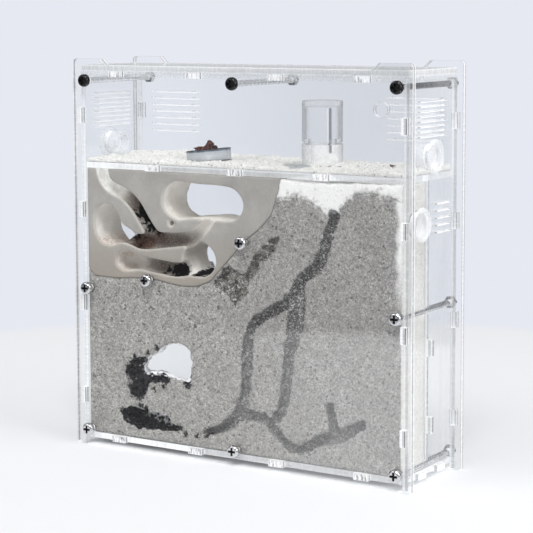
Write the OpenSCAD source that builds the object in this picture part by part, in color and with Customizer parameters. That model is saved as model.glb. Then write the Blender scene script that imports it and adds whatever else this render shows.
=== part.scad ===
// Upright display nest for ants. Two tall clear sheets are bolted over a frame of clear side
// walls, floor and roof. The upper third is an arena with a feeding dish and a water feeder,
// and the lower part is a narrow nest with a moulded insert, packed round with sand.
// Millimetres, +Z up, front towards -Y, origin at the middle of the underside.

/* [Case] */
// Width of the front and back sheets
case_w = 200; // [180:1:230]
// Depth over the outer faces of the front and back sheets
case_d = 56; // [50:1:70]
// Height of the front and back sheets, without feet and ears
panel_h = 200; // [185:1:230]
// Thickness of the front and back sheets
panel_t = 3; // [2:0.5:4]
// Thickness of the side walls
wall_t = 3; // [2:0.5:4]
// Thickness of the floor sheet
floor_t = 3; // [2:0.5:4]
// Thickness of the roof sheet
roof_t = 3; // [2:0.5:4]
// Thickness of the loose lid
lid_t = 3; // [2:0.5:4]
// How far the walls stand in from the sides of the front and back sheets
wall_inset = 3; // [2:0.5:5]
// How far floor and roof stand in from the bottom and top edges of the sheets
floor_inset = 2.6; // [1:0.2:5]
// Clearance round the lid
lid_gap = 0.4; // [0.2:0.1:1]

/* [Feet and ears] */
// How far the feet reach below the sheets
foot_drop = 0.8; // [0.5:0.1:3]
// Width of a foot
foot_w = 6; // [4:0.5:12]
// Height of the ears above the sheets
ear_h = 3.7; // [2:0.1:8]
// Flat width on top of an ear
ear_w = 18; // [12:1:26]
// Corner radius of an ear
ear_r = 2; // [0.5:0.5:3]
// Fillet where an ear runs into the top edge
ear_fillet = 8; // [2:1:10]

/* [Tabs] */
// Length of each tab along its sheet's edge
tab_l = 8; // [5:0.5:10]
// Clearance of a tab in its slot
tab_gap = 0.1; // [0.05:0.05:0.2]
// Spacing of the roof and floor tabs
roof_tab_pitch = 48.5; // [44:0.5:52]
// Spacing of the wall tabs
wall_tab_pitch = 49.5; // [46:0.5:50]
// Spacing of the arena floor tabs
arena_tab_pitch = 50; // [45:1:60]
// Spacing of the floor tabs in the side walls
side_tab_pitch = 20; // [16:1:24]
// Height of the lower partition tab above the floor
part_tab_z = 21.5; // [16:0.5:30]
// Spacing of the partition tabs
part_tab_pitch = 38; // [30:1:50]

/* [Arena] */
// Clear height of the arena
arena_h = 44.7; // [40:0.1:52]
// Thickness of the arena floor
arena_floor_t = 3; // [2:0.5:4]
// Radius of the nest entrance
entrance_r = 3.6; // [3:0.1:4.5]
// Distance of the entrance from the side wall
entrance_x = 9.5; // [8:0.5:12]
// Distance of the entrance from the front sheet
entrance_y = 4.8; // [4.6:0.1:8]
// Length of the feeding opening in the roof
hatch_l = 150; // [120:1:160]
// Width of the feeding opening in the roof
hatch_w = 34; // [26:1:36]
// Corner radius of the feeding opening
hatch_r = 5; // [2:0.5:8]
// Depth of sand on the arena floor
arena_sand_t = 2.4; // [1.5:0.1:3]

/* [Vents and ports] */
// Number of slits in each arena wall
wall_slits = 8; // [4:1:9]
// Spacing of the slits in the arena walls
wall_slit_pitch = 2.4; // [1.8:0.1:2.6]
// Length of the slits in the arena walls
wall_slit_l = 28; // [16:1:34]
// Number of slits in each group on the back sheet
back_slits = 7; // [4:1:8]
// Spacing of the slits on the back sheet
back_slit_pitch = 3.5; // [2.5:0.1:3.8]
// Length of the slits on the back sheet
back_slit_l = 26.5; // [16:0.5:34]
// Distance of the back slits from the sides of the sheet
back_slit_x = 12.5; // [10:0.5:20]
// Number of slits behind the partition
low_slits = 5; // [3:1:6]
// Spacing of the slits behind the partition
low_slit_pitch = 3.5; // [2.5:0.1:4]
// Length of the slits behind the partition
low_slit_l = 15; // [8:0.5:18]
// Distance of the slits behind the partition from it
low_slit_y = 2.8; // [1:0.2:5]
// Height of a slit
slit_h = 0.7; // [0.4:0.1:1]
// Drop from the roof to the first slit
slit_drop = 9; // [7:0.5:12]
// Radius of the open port in the back sheet
port_r = 4; // [3:0.1:5]
// Distance of the open port from the side of the sheet
port_x = 46; // [44:0.5:60]
// Drop from the roof to the open port
port_drop = 16; // [12:0.5:22]

/* [Plugs] */
// Radius of the plug holes in the walls
plug_hole_r = 6; // [5:0.1:7]
// Clearance round a plug
plug_gap = 0.1; // [0.05:0.05:0.2]
// Length of a plug below its flange
plug_l = 9.5; // [6:0.5:11]
// Radius of a plug's flange
plug_flange_r = 8.2; // [7.5:0.1:9]
// Thickness of a plug's flange
plug_flange_t = 2; // [1:0.1:3]
// Radius of the hollow in a plug
plug_hollow_r = 3.6; // [2:0.1:4]
// Height of the arena plugs above the arena floor
arena_plug_z = 8.8; // [8.4:0.1:14]
// Drop from the arena floor to the nest plug
nest_plug_drop = 20; // [16:0.5:30]

/* [Nest] */
// Depth of the nest between front sheet and partition
nest_d = 23.5; // [20:0.5:25]
// Thickness of the partition
part_t = 3; // [2:0.5:4]
// Clearance round the insert and the sand
nest_gap = 0.2; // [0.1:0.05:0.3]
// Width of the insert
insert_w = 119.6; // [110:0.1:130]
// Height of the insert
insert_h = 58.3; // [52:0.1:64]
// Depth of the tunnels in the insert
insert_tunnel_d = 8; // [6:0.5:12]
// Depth of the blind room in the insert
insert_room_d = 13; // [8:0.5:16]
// Depth of the tunnels dug in the sand
sand_tunnel_d = 6; // [4:0.5:10]
// Depth of the blind room dug in the sand
sand_room_d = 12; // [8:0.5:16]
// Depth of the hollows where the sand has slipped from the insert
slip_d = 4.5; // [2:0.5:8]

/* [Bolts] */
// Radius of the bolts
bolt_r = 1.5; // [1:0.1:1.7]
// Clearance of the bolts in their holes
bolt_gap = 0.15; // [0.05:0.05:0.3]
// Gap between a bolt and the sheet it runs along
bolt_off = 0.5; // [0.3:0.1:1]
// Radius of a bolt's head
head_r = 3.3; // [2.8:0.1:3.8]
// Height of a bolt's head
head_h = 2.6; // [1.8:0.1:3.2]
// Width of the cross slot in a head
cross_w = 1.2; // [0.5:0.1:1.2]
// Length of the cross slot in a head
cross_l = 4.2; // [2.5:0.1:4.2]
// Depth of the cross slot in a head
cross_d = 1.3; // [0.6:0.1:1.6]
// Width of a nut across its flats
nut_af = 5.5; // [5:0.1:6.5]
// Thickness of a nut
nut_t = 2.4; // [1.8:0.1:3]
// Length of bolt beyond the nut
bolt_tail = 0.2; // [0:0.1:2]
// Drop from the insert to the two bolts beside the walls
side_bolt_drop = 5; // [4:0.5:12]

/* [Feeding dish] */
// Outer radius of the dish
dish_r = 11.5; // [9:0.1:12]
// Height of the dish
dish_h = 6.4; // [5:0.1:8]
// Wall of the dish
dish_wall = 0.9; // [0.6:0.1:1.2]
// Bottom of the dish
dish_bottom = 1.1; // [0.8:0.1:1.4]
// Tilt of the dish in the sand, in degrees
dish_tilt = 6; // [0:0.5:8]
// Distance of the dish from the middle of the arena
dish_x = 27.5; // [22:0.5:40]
// Distance of the dish from the front sheet
dish_y = 17; // [14:0.5:26]

/* [Water feeder] */
// Radius of the feeder's base
base_r = 20; // [15:0.5:22]
// Thickness of the feeder's base
base_t = 2.5; // [2:0.1:3]
// Outer radius of the sleeve
sleeve_r = 10.3; // [9.4:0.1:11]
// Inner radius of the sleeve
sleeve_bore_r = 8.6; // [7.5:0.1:9]
// Height of the sleeve
sleeve_h = 10; // [8:0.5:12]
// Width of the drinking slot down the front of the sleeve
sleeve_slot = 0.8; // [0.4:0.1:2]
// Outer radius of the bottle
bottle_r = 10.2; // [9.4:0.1:11]
// Wall of the bottle
bottle_wall = 1.2; // [0.8:0.1:1.5]
// Rounding of the bottle's shoulder
bottle_round = 1.6; // [0.4:0.1:2]
// Height of the bottle above the sleeve, without its end disc
bottle_h = 18.4; // [12:0.2:20]
// Thickness of the bottle's end disc
bottle_cap_t = 3; // [2:0.1:3.4]
// Length of the bottle's neck in the sleeve
neck_l = 4.6; // [3:0.1:5]
// Clearance between neck and sleeve
neck_gap = 0.15; // [0.1:0.05:0.4]
// Gap between the bottle's shoulder and the sleeve
shoulder_gap = 0.2; // [0.1:0.05:0.4]
// Height of the wick in the sleeve
wick_h = 4.6; // [3:0.1:4.8]
// Distance of the feeder from the middle of the arena
feeder_x = 35; // [32:0.5:45]

/* [Hidden] */
$fn = 48;
eps = 0.01;

// The bolts stand out at the back and at the front, and the origin lies midway
mid_y = (head_h - nut_t - bolt_tail) / 2;
front_y = mid_y - case_d / 2;
in_front = front_y + panel_t;
back_y = mid_y + case_d / 2;
in_back = back_y - panel_t;
bay_y = (in_front + in_back) / 2;

panel_z = foot_drop;
panel_top = panel_z + panel_h;
floor_z = panel_z + floor_inset;
floor_top = floor_z + floor_t;
roof_top = panel_top - floor_inset;
roof_z = roof_top - roof_t;
arena_z = roof_z - arena_h;
arena_under = arena_z - arena_floor_t;

wall_out = case_w / 2 - wall_inset;
wall_in = wall_out - wall_t;
nest_w = 2 * wall_in;
nest_h = arena_under - floor_top;
part_y = in_front + nest_d;
gap_y = in_front + nest_d / 2;
rear_y = part_y + part_t + low_slit_y + low_slit_l / 2;

mid_z = panel_z + panel_h / 2;
roof_tabs = [for (i = [-1.5 : 1 : 1.5]) i * roof_tab_pitch];
wall_tabs = [for (i = [-1.5 : 1 : 1.5]) mid_z + i * wall_tab_pitch];
arena_tabs = [for (i = [-1 : 1 : 1]) i * arena_tab_pitch];
part_tabs = [for (i = [0 : 1]) floor_top + part_tab_z + i * part_tab_pitch];
side_tabs = [for (i = [-0.5 : 1 : 0.5]) bay_y + i * side_tab_pitch];

arena_plug_at = [bay_y, arena_z + arena_plug_z];
nest_plug_at = [gap_y, arena_under - nest_plug_drop];
port_at = [case_w / 2 - port_x, roof_z - port_drop];
entrance_at = [-wall_in + entrance_x, in_front + entrance_y];
dish_at = [-dish_x, in_front + dish_y];
feeder_at = [feeder_x, bay_y];

bolt_run = bolt_r + bolt_off;
bolt_x = wall_in - bolt_run;
bolt_lo = floor_top + bolt_run;
bolt_hi = roof_z - bolt_run;
hole_r = bolt_r + bolt_gap;

// Points on the insert are measured from its upper left corner, to the right and down
insert_ref = [119.6, 58.3];
insert_x = -wall_in + nest_gap;
insert_top = arena_under - nest_gap;
bolt_mid = insert_top - insert_h - side_bolt_drop;
function on_insert(p) = [insert_x + p[0] * insert_w / insert_ref[0],
    insert_top - p[1] * insert_h / insert_ref[1]];
insert_bolts = [on_insert([40.4, 56.2]), on_insert([98.6, 33])];
nest_bolt_list = [[-bolt_x, bolt_mid], insert_bolts[0], insert_bolts[1], [bolt_x, bolt_mid]];
top_bolt_list = [[-bolt_x, bolt_hi], [0, bolt_hi], [bolt_x, bolt_hi]];
bottom_bolt_list = [[-bolt_x, bolt_lo], [0, bolt_lo], [bolt_x, bolt_lo]];

// Points in the sand are measured from the lower left corner of the nest
sand_ref = [188, 141.1];
function in_sand(p) = [-wall_in + p[0] * nest_w / sand_ref[0],
    floor_top + p[1] * nest_h / sand_ref[1]];

// ---------- outlines ----------
function unit(v) = v / norm(v);
function corner(a, b, c, r, n) = r <= 0 ? [b] :
    let(u = unit(a - b), v = unit(c - b), half = acos(u * v) / 2,
        t = r / tan(half), m = b + unit(u + v) * r / sin(half),
        p = b + u * t - m, q = b + v * t - m,
        s = atan2(p[1], p[0]), e = atan2(q[1], q[0]),
        d = (e - s + 540) % 360 - 180)
    [for (i = [0 : n]) m + r * [cos(s + d * i / n), sin(s + d * i / n)]];
// Outline with each corner [x, z, radius] rounded
function rounded(p, n = 5) = [for (i = [0 : len(p) - 1])
    let(k = len(p), a = p[(i + k - 1) % k], b = p[i], c = p[(i + 1) % k])
    each corner([a[0], a[1]], [b[0], b[1]], [c[0], c[1]], b[2], n)];
function spline(a, b, c, d, t) = 0.5 * (2 * b + (c - a) * t
    + (2 * a - 5 * b + 4 * c - d) * t * t + (3 * b - a - 3 * c + d) * t * t * t);
// Smooth line through the points, with k steps between each pair
function smooth(p, k) = let(n = len(p)) concat([for (i = [0 : n - 2]) for (j = [0 : k - 1])
    spline(p[max(i - 1, 0)], p[i], p[i + 1], p[min(i + 2, n - 1)], j / k)], [p[n - 1]]);
// Closed smooth outline through the points
function blob(p, k) = let(n = len(p)) [for (i = [0 : n - 1]) for (j = [0 : k - 1])
    spline(p[(i + n - 1) % n], p[i], p[(i + 1) % n], p[(i + 2) % n], j / k)];
// Band with round ends along the points [x, z, width]
function heading(s, i) = let(n = len(s), a = s[max(i - 1, 0)], b = s[min(i + 1, n - 1)])
    atan2(b[1] - a[1], b[0] - a[0]);
function side(s, i, h) = let(a = heading(s, i) + h)
    [s[i][0] + cos(a) * s[i][2] / 2, s[i][1] + sin(a) * s[i][2] / 2];
function cap(s, i, from) = [for (h = [30 : 30 : 150])
    let(a = heading(s, i) + from - h)
    [s[i][0] + cos(a) * s[i][2] / 2, s[i][1] + sin(a) * s[i][2] / 2]];
function band(p, k = 4) = let(s = smooth(p, k), n = len(s)) concat(
    [for (i = [0 : n - 1]) side(s, i, 90)], cap(s, n - 1, 90),
    [for (i = [n - 1 : -1 : 0]) side(s, i, -90)], cap(s, 0, 270));

// ---------- working shapes ----------
// Sheet standing across the case, from y to y + t
module across(y, t) { translate([0, y + t, 0]) rotate([90, 0, 0]) linear_extrude(t) children(); }
// Sheet standing along the case, from x to x + t
module along(x, t) { translate([x, 0, 0]) rotate([90, 0, 90]) linear_extrude(t) children(); }
// Box from corner a to corner b
module block(a, b) { translate(a) cube(b - a); }
// Hole along Y through whatever spans from y to y + t
module hole_y(at, r, y, t) {
    translate([at[0], y + t + 1, at[1]]) rotate([90, 0, 0]) cylinder(r = r, h = t + 2);
}
module hole_x(at, r, x, t) {
    translate([x - 1, at[0], at[1]]) rotate([0, 90, 0]) cylinder(r = r, h = t + 2);
}
module holes_y(list, r, y, t) { for (p = list) hole_y(p, r, y, t); }
// Row of slits, centred on x and hanging down from z
module slits_y(x, z, n, pitch, l, y, t) {
    for (i = [0 : n - 1])
        block([x - l / 2, y - 1, z - i * pitch - slit_h], [x + l / 2, y + t + 1, z - i * pitch]);
}
module slits_x(y, z, n, pitch, l, x, t) {
    for (i = [0 : n - 1])
        block([x - 1, y - l / 2, z - i * pitch - slit_h], [x + t + 1, y + l / 2, z - i * pitch]);
}

// ---------- case ----------
function half_outline(s) = let(w = s * case_w / 2, e = s * (case_w / 2 - ear_w),
        f = s * (case_w / 2 - foot_w)) [
    [f - s * foot_drop, panel_z, 0], [f, 0, 0], [w - s, 0, 0], [w, min(1, ear_h), 0],
    [w, panel_top + ear_h, ear_r], [e, panel_top + ear_h, 0.5], [e - s * ear_h, panel_top,
    ear_fillet / 2]];
function reversed(p) = [for (i = [len(p) - 1 : -1 : 0]) p[i]];
panel_outline = rounded(concat(half_outline(1), reversed(half_outline(-1))));

module panel(y) {
    difference() {
        across(y, panel_t) polygon(panel_outline);
        for (x = roof_tabs) {
            tab_slot_y(x, roof_z, roof_t, y);
            tab_slot_y(x, floor_z, floor_t, y);
        }
        for (x = arena_tabs) tab_slot_y(x, arena_under, arena_floor_t, y);
        for (z = wall_tabs) for (s = [-1, 1]) {
            block([s * (wall_in + wall_t / 2) - wall_t / 2 - tab_gap, y - 1,
                z - tab_l / 2 - tab_gap],
                [s * (wall_in + wall_t / 2) + wall_t / 2 + tab_gap, y + panel_t + 1,
                z + tab_l / 2 + tab_gap]);
        }
        holes_y(top_bolt_list, hole_r, y, panel_t);
        holes_y(nest_bolt_list, hole_r, y, panel_t);
        holes_y(bottom_bolt_list, hole_r, y, panel_t);
    }
}
module tab_slot_y(x, z, t, y) {
    block([x - tab_l / 2 - tab_gap, y - 1, z - tab_gap],
        [x + tab_l / 2 + tab_gap, y + panel_t + 1, z + t + tab_gap]);
}
// Pair of tabs through the front and back sheets
module tabs_y(x, z, t) {
    block([x - tab_l / 2, front_y, z], [x + tab_l / 2, in_front + eps, z + t]);
    block([x - tab_l / 2, in_back - eps, z], [x + tab_l / 2, back_y, z + t]);
}

module front_panel() {
    color("lightcyan", 0.3) panel(front_y);
}

module back_panel() {
    color("lightcyan", 0.3) difference() {
        panel(in_back);
        for (s = [-1, 1])
            slits_y(s * (case_w / 2 - back_slit_x - back_slit_l / 2), roof_z - slit_drop,
                back_slits, back_slit_pitch, back_slit_l, in_back, panel_t);
        hole_y(port_at, port_r, in_back, panel_t);
    }
}

module wall(s) {
    x = s > 0 ? wall_in : -wall_out;
    difference() {
        union() {
            block([x, in_front, panel_z], [x + wall_t, in_back, roof_z]);
            for (z = wall_tabs) {
                block([x, front_y, z - tab_l / 2], [x + wall_t, in_front + eps, z + tab_l / 2]);
                block([x, in_back - eps, z - tab_l / 2], [x + wall_t, back_y, z + tab_l / 2]);
            }
        }
        hole_x(arena_plug_at, plug_hole_r, x, wall_t);
        slits_x(bay_y, roof_z - slit_drop, wall_slits, wall_slit_pitch, wall_slit_l, x, wall_t);
        for (z = part_tabs)
            block([x - 1, part_y - tab_gap, z - tab_l / 2 - tab_gap],
                [x + wall_t + 1, part_y + part_t + tab_gap, z + tab_l / 2 + tab_gap]);
        for (y = side_tabs)
            block([x - 1, y - tab_l / 2 - tab_gap, floor_z - tab_gap],
                [x + wall_t + 1, y + tab_l / 2 + tab_gap, floor_top + tab_gap]);
    }
}

module left_wall() {
    color("lightcyan", 0.3) wall(-1);
}

module right_wall() {
    color("lightcyan", 0.3) difference() {
        wall(1);
        hole_x(nest_plug_at, plug_hole_r, wall_in, wall_t);
        slits_x(rear_y, nest_plug_at[1] + low_slits * low_slit_pitch / 2, low_slits,
            low_slit_pitch, low_slit_l, wall_in, wall_t);
    }
}

module roof_panel() {
    color("lightcyan", 0.3) difference() {
        union() {
            block([-wall_out, in_front, roof_z], [wall_out, in_back, roof_top]);
            for (x = roof_tabs) tabs_y(x, roof_z, roof_t);
        }
        translate([0, 0, roof_z - 1]) linear_extrude(roof_t + 2) polygon(rounded([
            [-hatch_l / 2, bay_y - hatch_w / 2, hatch_r], [hatch_l / 2, bay_y - hatch_w / 2,
            hatch_r], [hatch_l / 2, bay_y + hatch_w / 2, hatch_r], [-hatch_l / 2,
            bay_y + hatch_w / 2, hatch_r]]));
    }
}

module lid() {
    color("azure", 0.4) translate([0, 0, roof_top]) linear_extrude(lid_t) polygon(rounded([
        [-wall_out, in_front + lid_gap, 1], [wall_out, in_front + lid_gap, 1],
        [wall_out, in_back - lid_gap, 1], [-wall_out, in_back - lid_gap, 1]]));
}

module floor_panel() {
    color("lightcyan", 0.3) union() {
        block([-wall_in, in_front, floor_z], [wall_in, in_back, floor_top]);
        for (x = roof_tabs) tabs_y(x, floor_z, floor_t);
        for (y = side_tabs) block([-wall_out, y - tab_l / 2, floor_z],
            [wall_out, y + tab_l / 2, floor_top]);
    }
}

module arena_floor() {
    color("lightcyan", 0.3) difference() {
        union() {
            block([-wall_in, in_front, arena_under], [wall_in, in_back, arena_z]);
            for (x = arena_tabs) tabs_y(x, arena_under, arena_floor_t);
        }
        translate([entrance_at[0], entrance_at[1], arena_under - 1])
            cylinder(r = entrance_r, h = arena_floor_t + 2);
    }
}

module nest_partition() {
    color("lightcyan", 0.3) difference() {
        union() {
            block([-wall_in, part_y, floor_top], [wall_in, part_y + part_t, arena_under]);
            for (z = part_tabs) block([-wall_out, part_y, z - tab_l / 2],
                [wall_out, part_y + part_t, z + tab_l / 2]);
        }
        bolt_rooms(hole_r, part_y - 1, part_y + part_t + 1);
    }
}

// Room for the bolts of the nest, open to the sheet that each runs along
module bolt_rooms(r, y0, y1) {
    holes_y(insert_bolts, r, y0 + 1, y1 - y0 - 2);
    block([-r, y0, floor_top - 1], [r, y1, bolt_lo + r]);
    for (s = [-1, 1]) translate([s * (bolt_x - r + wall_in + 1) / 2, (y0 + y1) / 2, 0]) {
        translate([0, 0, bolt_mid])
            cube([wall_in + 1 - bolt_x + r, y1 - y0, 2 * r], center = true);
        translate([0, 0, (floor_top - 1 + bolt_lo + r) / 2])
            cube([wall_in + 1 - bolt_x + r, y1 - y0, bolt_lo + r - floor_top + 1], center = true);
    }
}

// ---------- nest ----------
insert_points = [[0, 0, 0], [119.6, 0, 0], [118.2, 6, 0], [116.4, 11, 6], [113.6, 19, 8],
    [106.6, 26, 10], [99, 32, 10], [91.6, 39.5, 10], [84, 47.4, 10], [77.4, 54.4, 6],
    [70, 57.4, 8], [61, 58.3, 8], [52, 57.4, 8], [44.5, 56.2, 4], [34, 56, 4],
    [18, 57.2, 8], [4, 57, 4], [0, 53, 3]];
insert_outline = rounded([for (p = insert_points)
    let(q = on_insert(p)) [q[0], q[1], p[2]]], 4);
// Rooms that go right through the insert
room_a = [[4.2, 29], [5.2, 22.5], [9, 18.8], [14.5, 18.6], [19.4, 22], [21.8, 28],
    [26, 30.6], [28.6, 32.4], [24, 35.4], [20.2, 38.4], [15.4, 40.4], [9.4, 39.2], [5.6, 35]];
room_b = [[48.2, 14.4], [50, 8.6], [54.6, 5], [60, 4.6], [72, 5.4], [86, 5.8], [92.6, 7.4],
    [96.8, 11.6], [97.2, 16.6], [93.6, 21.4], [87.6, 23.2], [76, 22.6], [64, 23.4],
    [57.6, 24.4], [52.2, 22.2], [49, 18.6]];
room_c = [[60.4, 43], [63.4, 38], [69, 34.6], [74.6, 35.6], [79.2, 39.4], [80.6, 44.6],
    [78.4, 49.4], [73.6, 52.4], [67.4, 52.4], [62.4, 49.2]];
// Blind room and tunnels, open towards the front sheet
room_d = [[18.2, 48], [20.4, 43.2], [25.6, 42], [31, 43.6], [34.6, 45.6], [34.6, 49.6],
    [29.6, 52.2], [23.6, 53], [19.6, 51.2]];
tunnel_1 = [[9.5, -4, 7.2], [9.7, 0.5, 7.2], [11.6, 6, 6.2], [16, 9.8, 6], [22.6, 12.4, 6.4],
    [28.4, 16, 7], [33, 21, 7], [37.6, 27.6, 6.8], [43, 34, 6.6]];
tunnel_2 = [[20, 35.4, 5], [27, 36, 6.2], [34, 37, 8], [42, 36, 8.8], [49, 35.2, 8],
    [57, 34.6, 7.4], [64.6, 33, 7], [70.6, 29.6, 6.6], [75.4, 25, 6.4], [78, 20, 6.4]];
tunnel_3 = [[64, 34, 6.6], [67.6, 36.6, 7], [71, 40, 7.4]];
tunnel_4 = [[28, 47.6, 6.6], [37, 48.4, 7], [47, 49.4, 7.4], [57, 50, 7.2], [66, 48.6, 7]];
pit = [53.4, 26.2, 1.7];

module insert_cut(p, y) { across(in_front - 1, y + 1) polygon([for (q = p) on_insert(q)]); }
module insert_band(p) {
    across(in_front - 1, insert_tunnel_d + 1)
        polygon(band([for (q = p) let(r = on_insert(q)) [r[0], r[1], q[2]]]));
}

module nest_insert() {
    color("tan") difference() {
        across(in_front + nest_gap, nest_d - 2 * nest_gap) polygon(insert_outline);
        insert_cut(blob(room_a, 3), nest_d);
        insert_cut(blob(room_b, 3), nest_d);
        insert_cut(blob(room_c, 3), nest_d);
        insert_cut(blob(room_d, 3), insert_room_d);
        insert_band(tunnel_1);
        insert_band(tunnel_2);
        insert_band(tunnel_3);
        insert_band(tunnel_4);
        hole_y(on_insert(pit), pit[2], in_front, 2);
        for (p = insert_bolts) hole_y(p, hole_r + 0.15, in_front, nest_d);
    }
}

// Top of the grey sand, from the right wall to the insert
sand_top = [[187.8, 133], [183, 134.4], [177, 135.8], [169, 136.4], [162, 135], [157.5, 132],
    [153.5, 127], [149, 123.8], [145, 124.6], [140, 128.8], [134, 131.2], [126, 131.8],
    [119, 132]];
pale_top = [[187.8, 139.4], [176, 139.2], [164, 139.1], [154, 137.8], [140, 136.6],
    [131, 136.4], [124, 138.6], [116, 139.6]];
sand_tunnels = [
    [[150.5, 128, 7], [148.6, 121, 6], [145.6, 112, 6], [143.4, 104, 7], [138.6, 97, 6.6],
        [132, 91.6, 6], [129, 86, 7], [126.6, 79, 8]],
    [[124.6, 81, 6], [117.6, 76, 6.4], [109.4, 71, 5.6], [103, 66.6, 5.6], [100, 58, 6.2],
        [99.2, 44, 6.4], [98, 32, 6], [95.4, 22.6, 6], [90, 16, 5.4], [83, 11, 4.4],
        [75, 8.4, 3.4]],
    [[129, 84, 9], [128.6, 76, 10], [127, 66, 9], [124, 53, 6.4], [122.6, 39, 6],
        [121.4, 29, 6], [117, 21.4, 5.4]],
    [[93, 17.4, 5], [99, 19.8, 5.4], [106, 20.2, 5.2], [111, 18.6, 5.4], [116.4, 13.6, 5.6],
        [122, 8.6, 5.2], [129.4, 6.4, 5], [137, 9.4, 5.4], [144, 13.4, 6], [152, 15.6, 6.4],
        [159, 19.6, 6], [165.6, 23.4, 5.4]],
    [[150, 15.6, 6], [149, 22, 5.4], [147.4, 30.4, 4.6]]];
// Room dug right through to the partition, and a blind room below it
sand_room = [[24.5, 34], [26.6, 41], [35.5, 43.6], [40.5, 45.4], [48.5, 50.6], [54.5, 53.4],
    [62.5, 51.4], [65.6, 46.6], [65, 41], [63.4, 34.6], [58.6, 35], [49.5, 34], [43.5, 31.6],
    [39, 27.4], [35, 22], [29.6, 20], [26, 25]];
low_room = [[20.8, 13], [23.6, 15.4], [30, 16], [37.4, 15], [42.6, 12.4], [48, 9.2],
    [55.6, 8.2], [54, 5.8], [46, 5.2], [38, 5], [30, 5.4], [24, 8.4]];
slips = [[[78.6, 87], [82.6, 91.4], [90, 94.6], [92.4, 86], [92, 76], [88.4, 77.6],
        [81, 82.4]],
    [[97, 95.6], [99.6, 102.4], [104.6, 103.4], [107.4, 98.6], [103.6, 92], [98, 92.6]],
    [[107.6, 99.6], [112, 107.6], [116, 111], [117, 108], [115.4, 103.4], [111, 98.6]]];

module sand_block(outline) {
    difference() {
        across(in_front + nest_gap, nest_d - 1.5 * nest_gap) polygon(outline);
        across(in_front, nest_d) polygon(insert_outline);
        bolt_rooms(hole_r + 0.1, in_front, part_y);
        translate([wall_in - plug_l + wall_t - 0.4, nest_plug_at[0], nest_plug_at[1]])
            rotate([0, 90, 0]) cylinder(r = plug_hole_r + 0.3, h = plug_l);
    }
}
module sand_cut(outline, d) { across(in_front - 1, d + 1) polygon(outline); }

module nest_sand() {
    top = [for (p = smooth(sand_top, 3)) in_sand(p)];
    x = wall_in - nest_gap;
    z = floor_top + 0.1;
    color("darkgray") difference() {
        sand_block(concat([[-x, z], [x, z]],
            [for (p = top) [min(p[0], x), p[1]]], [[insert_bolts[1][0], insert_bolts[1][1] + 12],
            [-x, insert_bolts[0][1] + 20]]));
        for (t = sand_tunnels)
            sand_cut(band([for (q = t) let(r = in_sand(q)) [r[0], r[1], q[2]]]),
                sand_tunnel_d);
        sand_cut([for (q = blob(sand_room, 2)) in_sand(q)], nest_d);
        sand_cut([for (q = blob(low_room, 2)) in_sand(q)], sand_room_d);
        for (p = slips) sand_cut([for (q = blob(p, 2)) in_sand(q)], slip_d);
    }
}

module pale_nest_sand() {
    lower = [for (p = smooth(sand_top, 3)) in_sand(p)];
    upper = [for (p = smooth(pale_top, 3)) in_sand(p)];
    x = wall_in - nest_gap;
    b = insert_bolts[1];
    color("whitesmoke") difference() {
        sand_block(concat([for (p = reversed(lower)) [min(p[0], x), p[1]]],
            [for (p = upper) [min(p[0], x), min(p[1], insert_top)]],
            [[b[0], insert_top - 1], [b[0], b[1] + 12]]));
        sand_cut(band([for (q = sand_tunnels[0])
            let(r = in_sand(q)) [r[0], r[1], q[2]]]), sand_tunnel_d);
    }
}

// ---------- arena ----------
arena_heights = [[-94, 0.9], [-82, 0.7], [-70, 1.1], [-52, 1.3], [-38, 1.15], [-16, 1.1],
    [-4, 1.2], [6, 0.95], [16, 0.7], [36, 0.75], [56, 0.85], [66, 1], [78, 1.15], [88, 1.2],
    [94, 1.05]];
function sand_at(x) = arena_sand_t * lookup(x * 94 / wall_in, arena_heights);

module arena_sand() {
    x = wall_in - nest_gap;
    color("white") difference() {
        across(in_front + nest_gap, in_back - in_front - 2 * nest_gap) polygon(concat(
            [[x, arena_z], [-x, arena_z]],
            [for (i = [0 : 40]) let(u = -x + i * x / 20) [u, arena_z + sand_at(u)]]));
        translate([entrance_at[0], entrance_at[1], arena_z - 1])
            cylinder(r = entrance_r + 0.5, h = 3 * arena_sand_t);
        translate([feeder_at[0], feeder_at[1], arena_z - 1])
            cylinder(r = base_r + 0.2, h = 3 * arena_sand_t);
        on_dish() translate([0, 0, -0.2]) cylinder(r = dish_r + 0.3, h = 2 * dish_h);
    }
}

// Carries the dish's own frame, with the underside of the dish at zero
module on_dish() {
    translate([dish_at[0], dish_at[1], arena_z + 0.3 + dish_r * sin(dish_tilt)])
        rotate([0, -dish_tilt, 0]) children();
}

module feeding_dish() {
    color("lightsteelblue") on_dish() rotate_extrude() polygon([
        [0, 0], [dish_r - 1.2, 0], [dish_r - 0.4, 0.5], [dish_r - 0.2, 1.4], [dish_r, dish_h],
        [dish_r - dish_wall, dish_h], [dish_r - dish_wall - 0.3, dish_bottom + 1],
        [dish_r - dish_wall - 1.1, dish_bottom], [0, dish_bottom]]);
}

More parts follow.
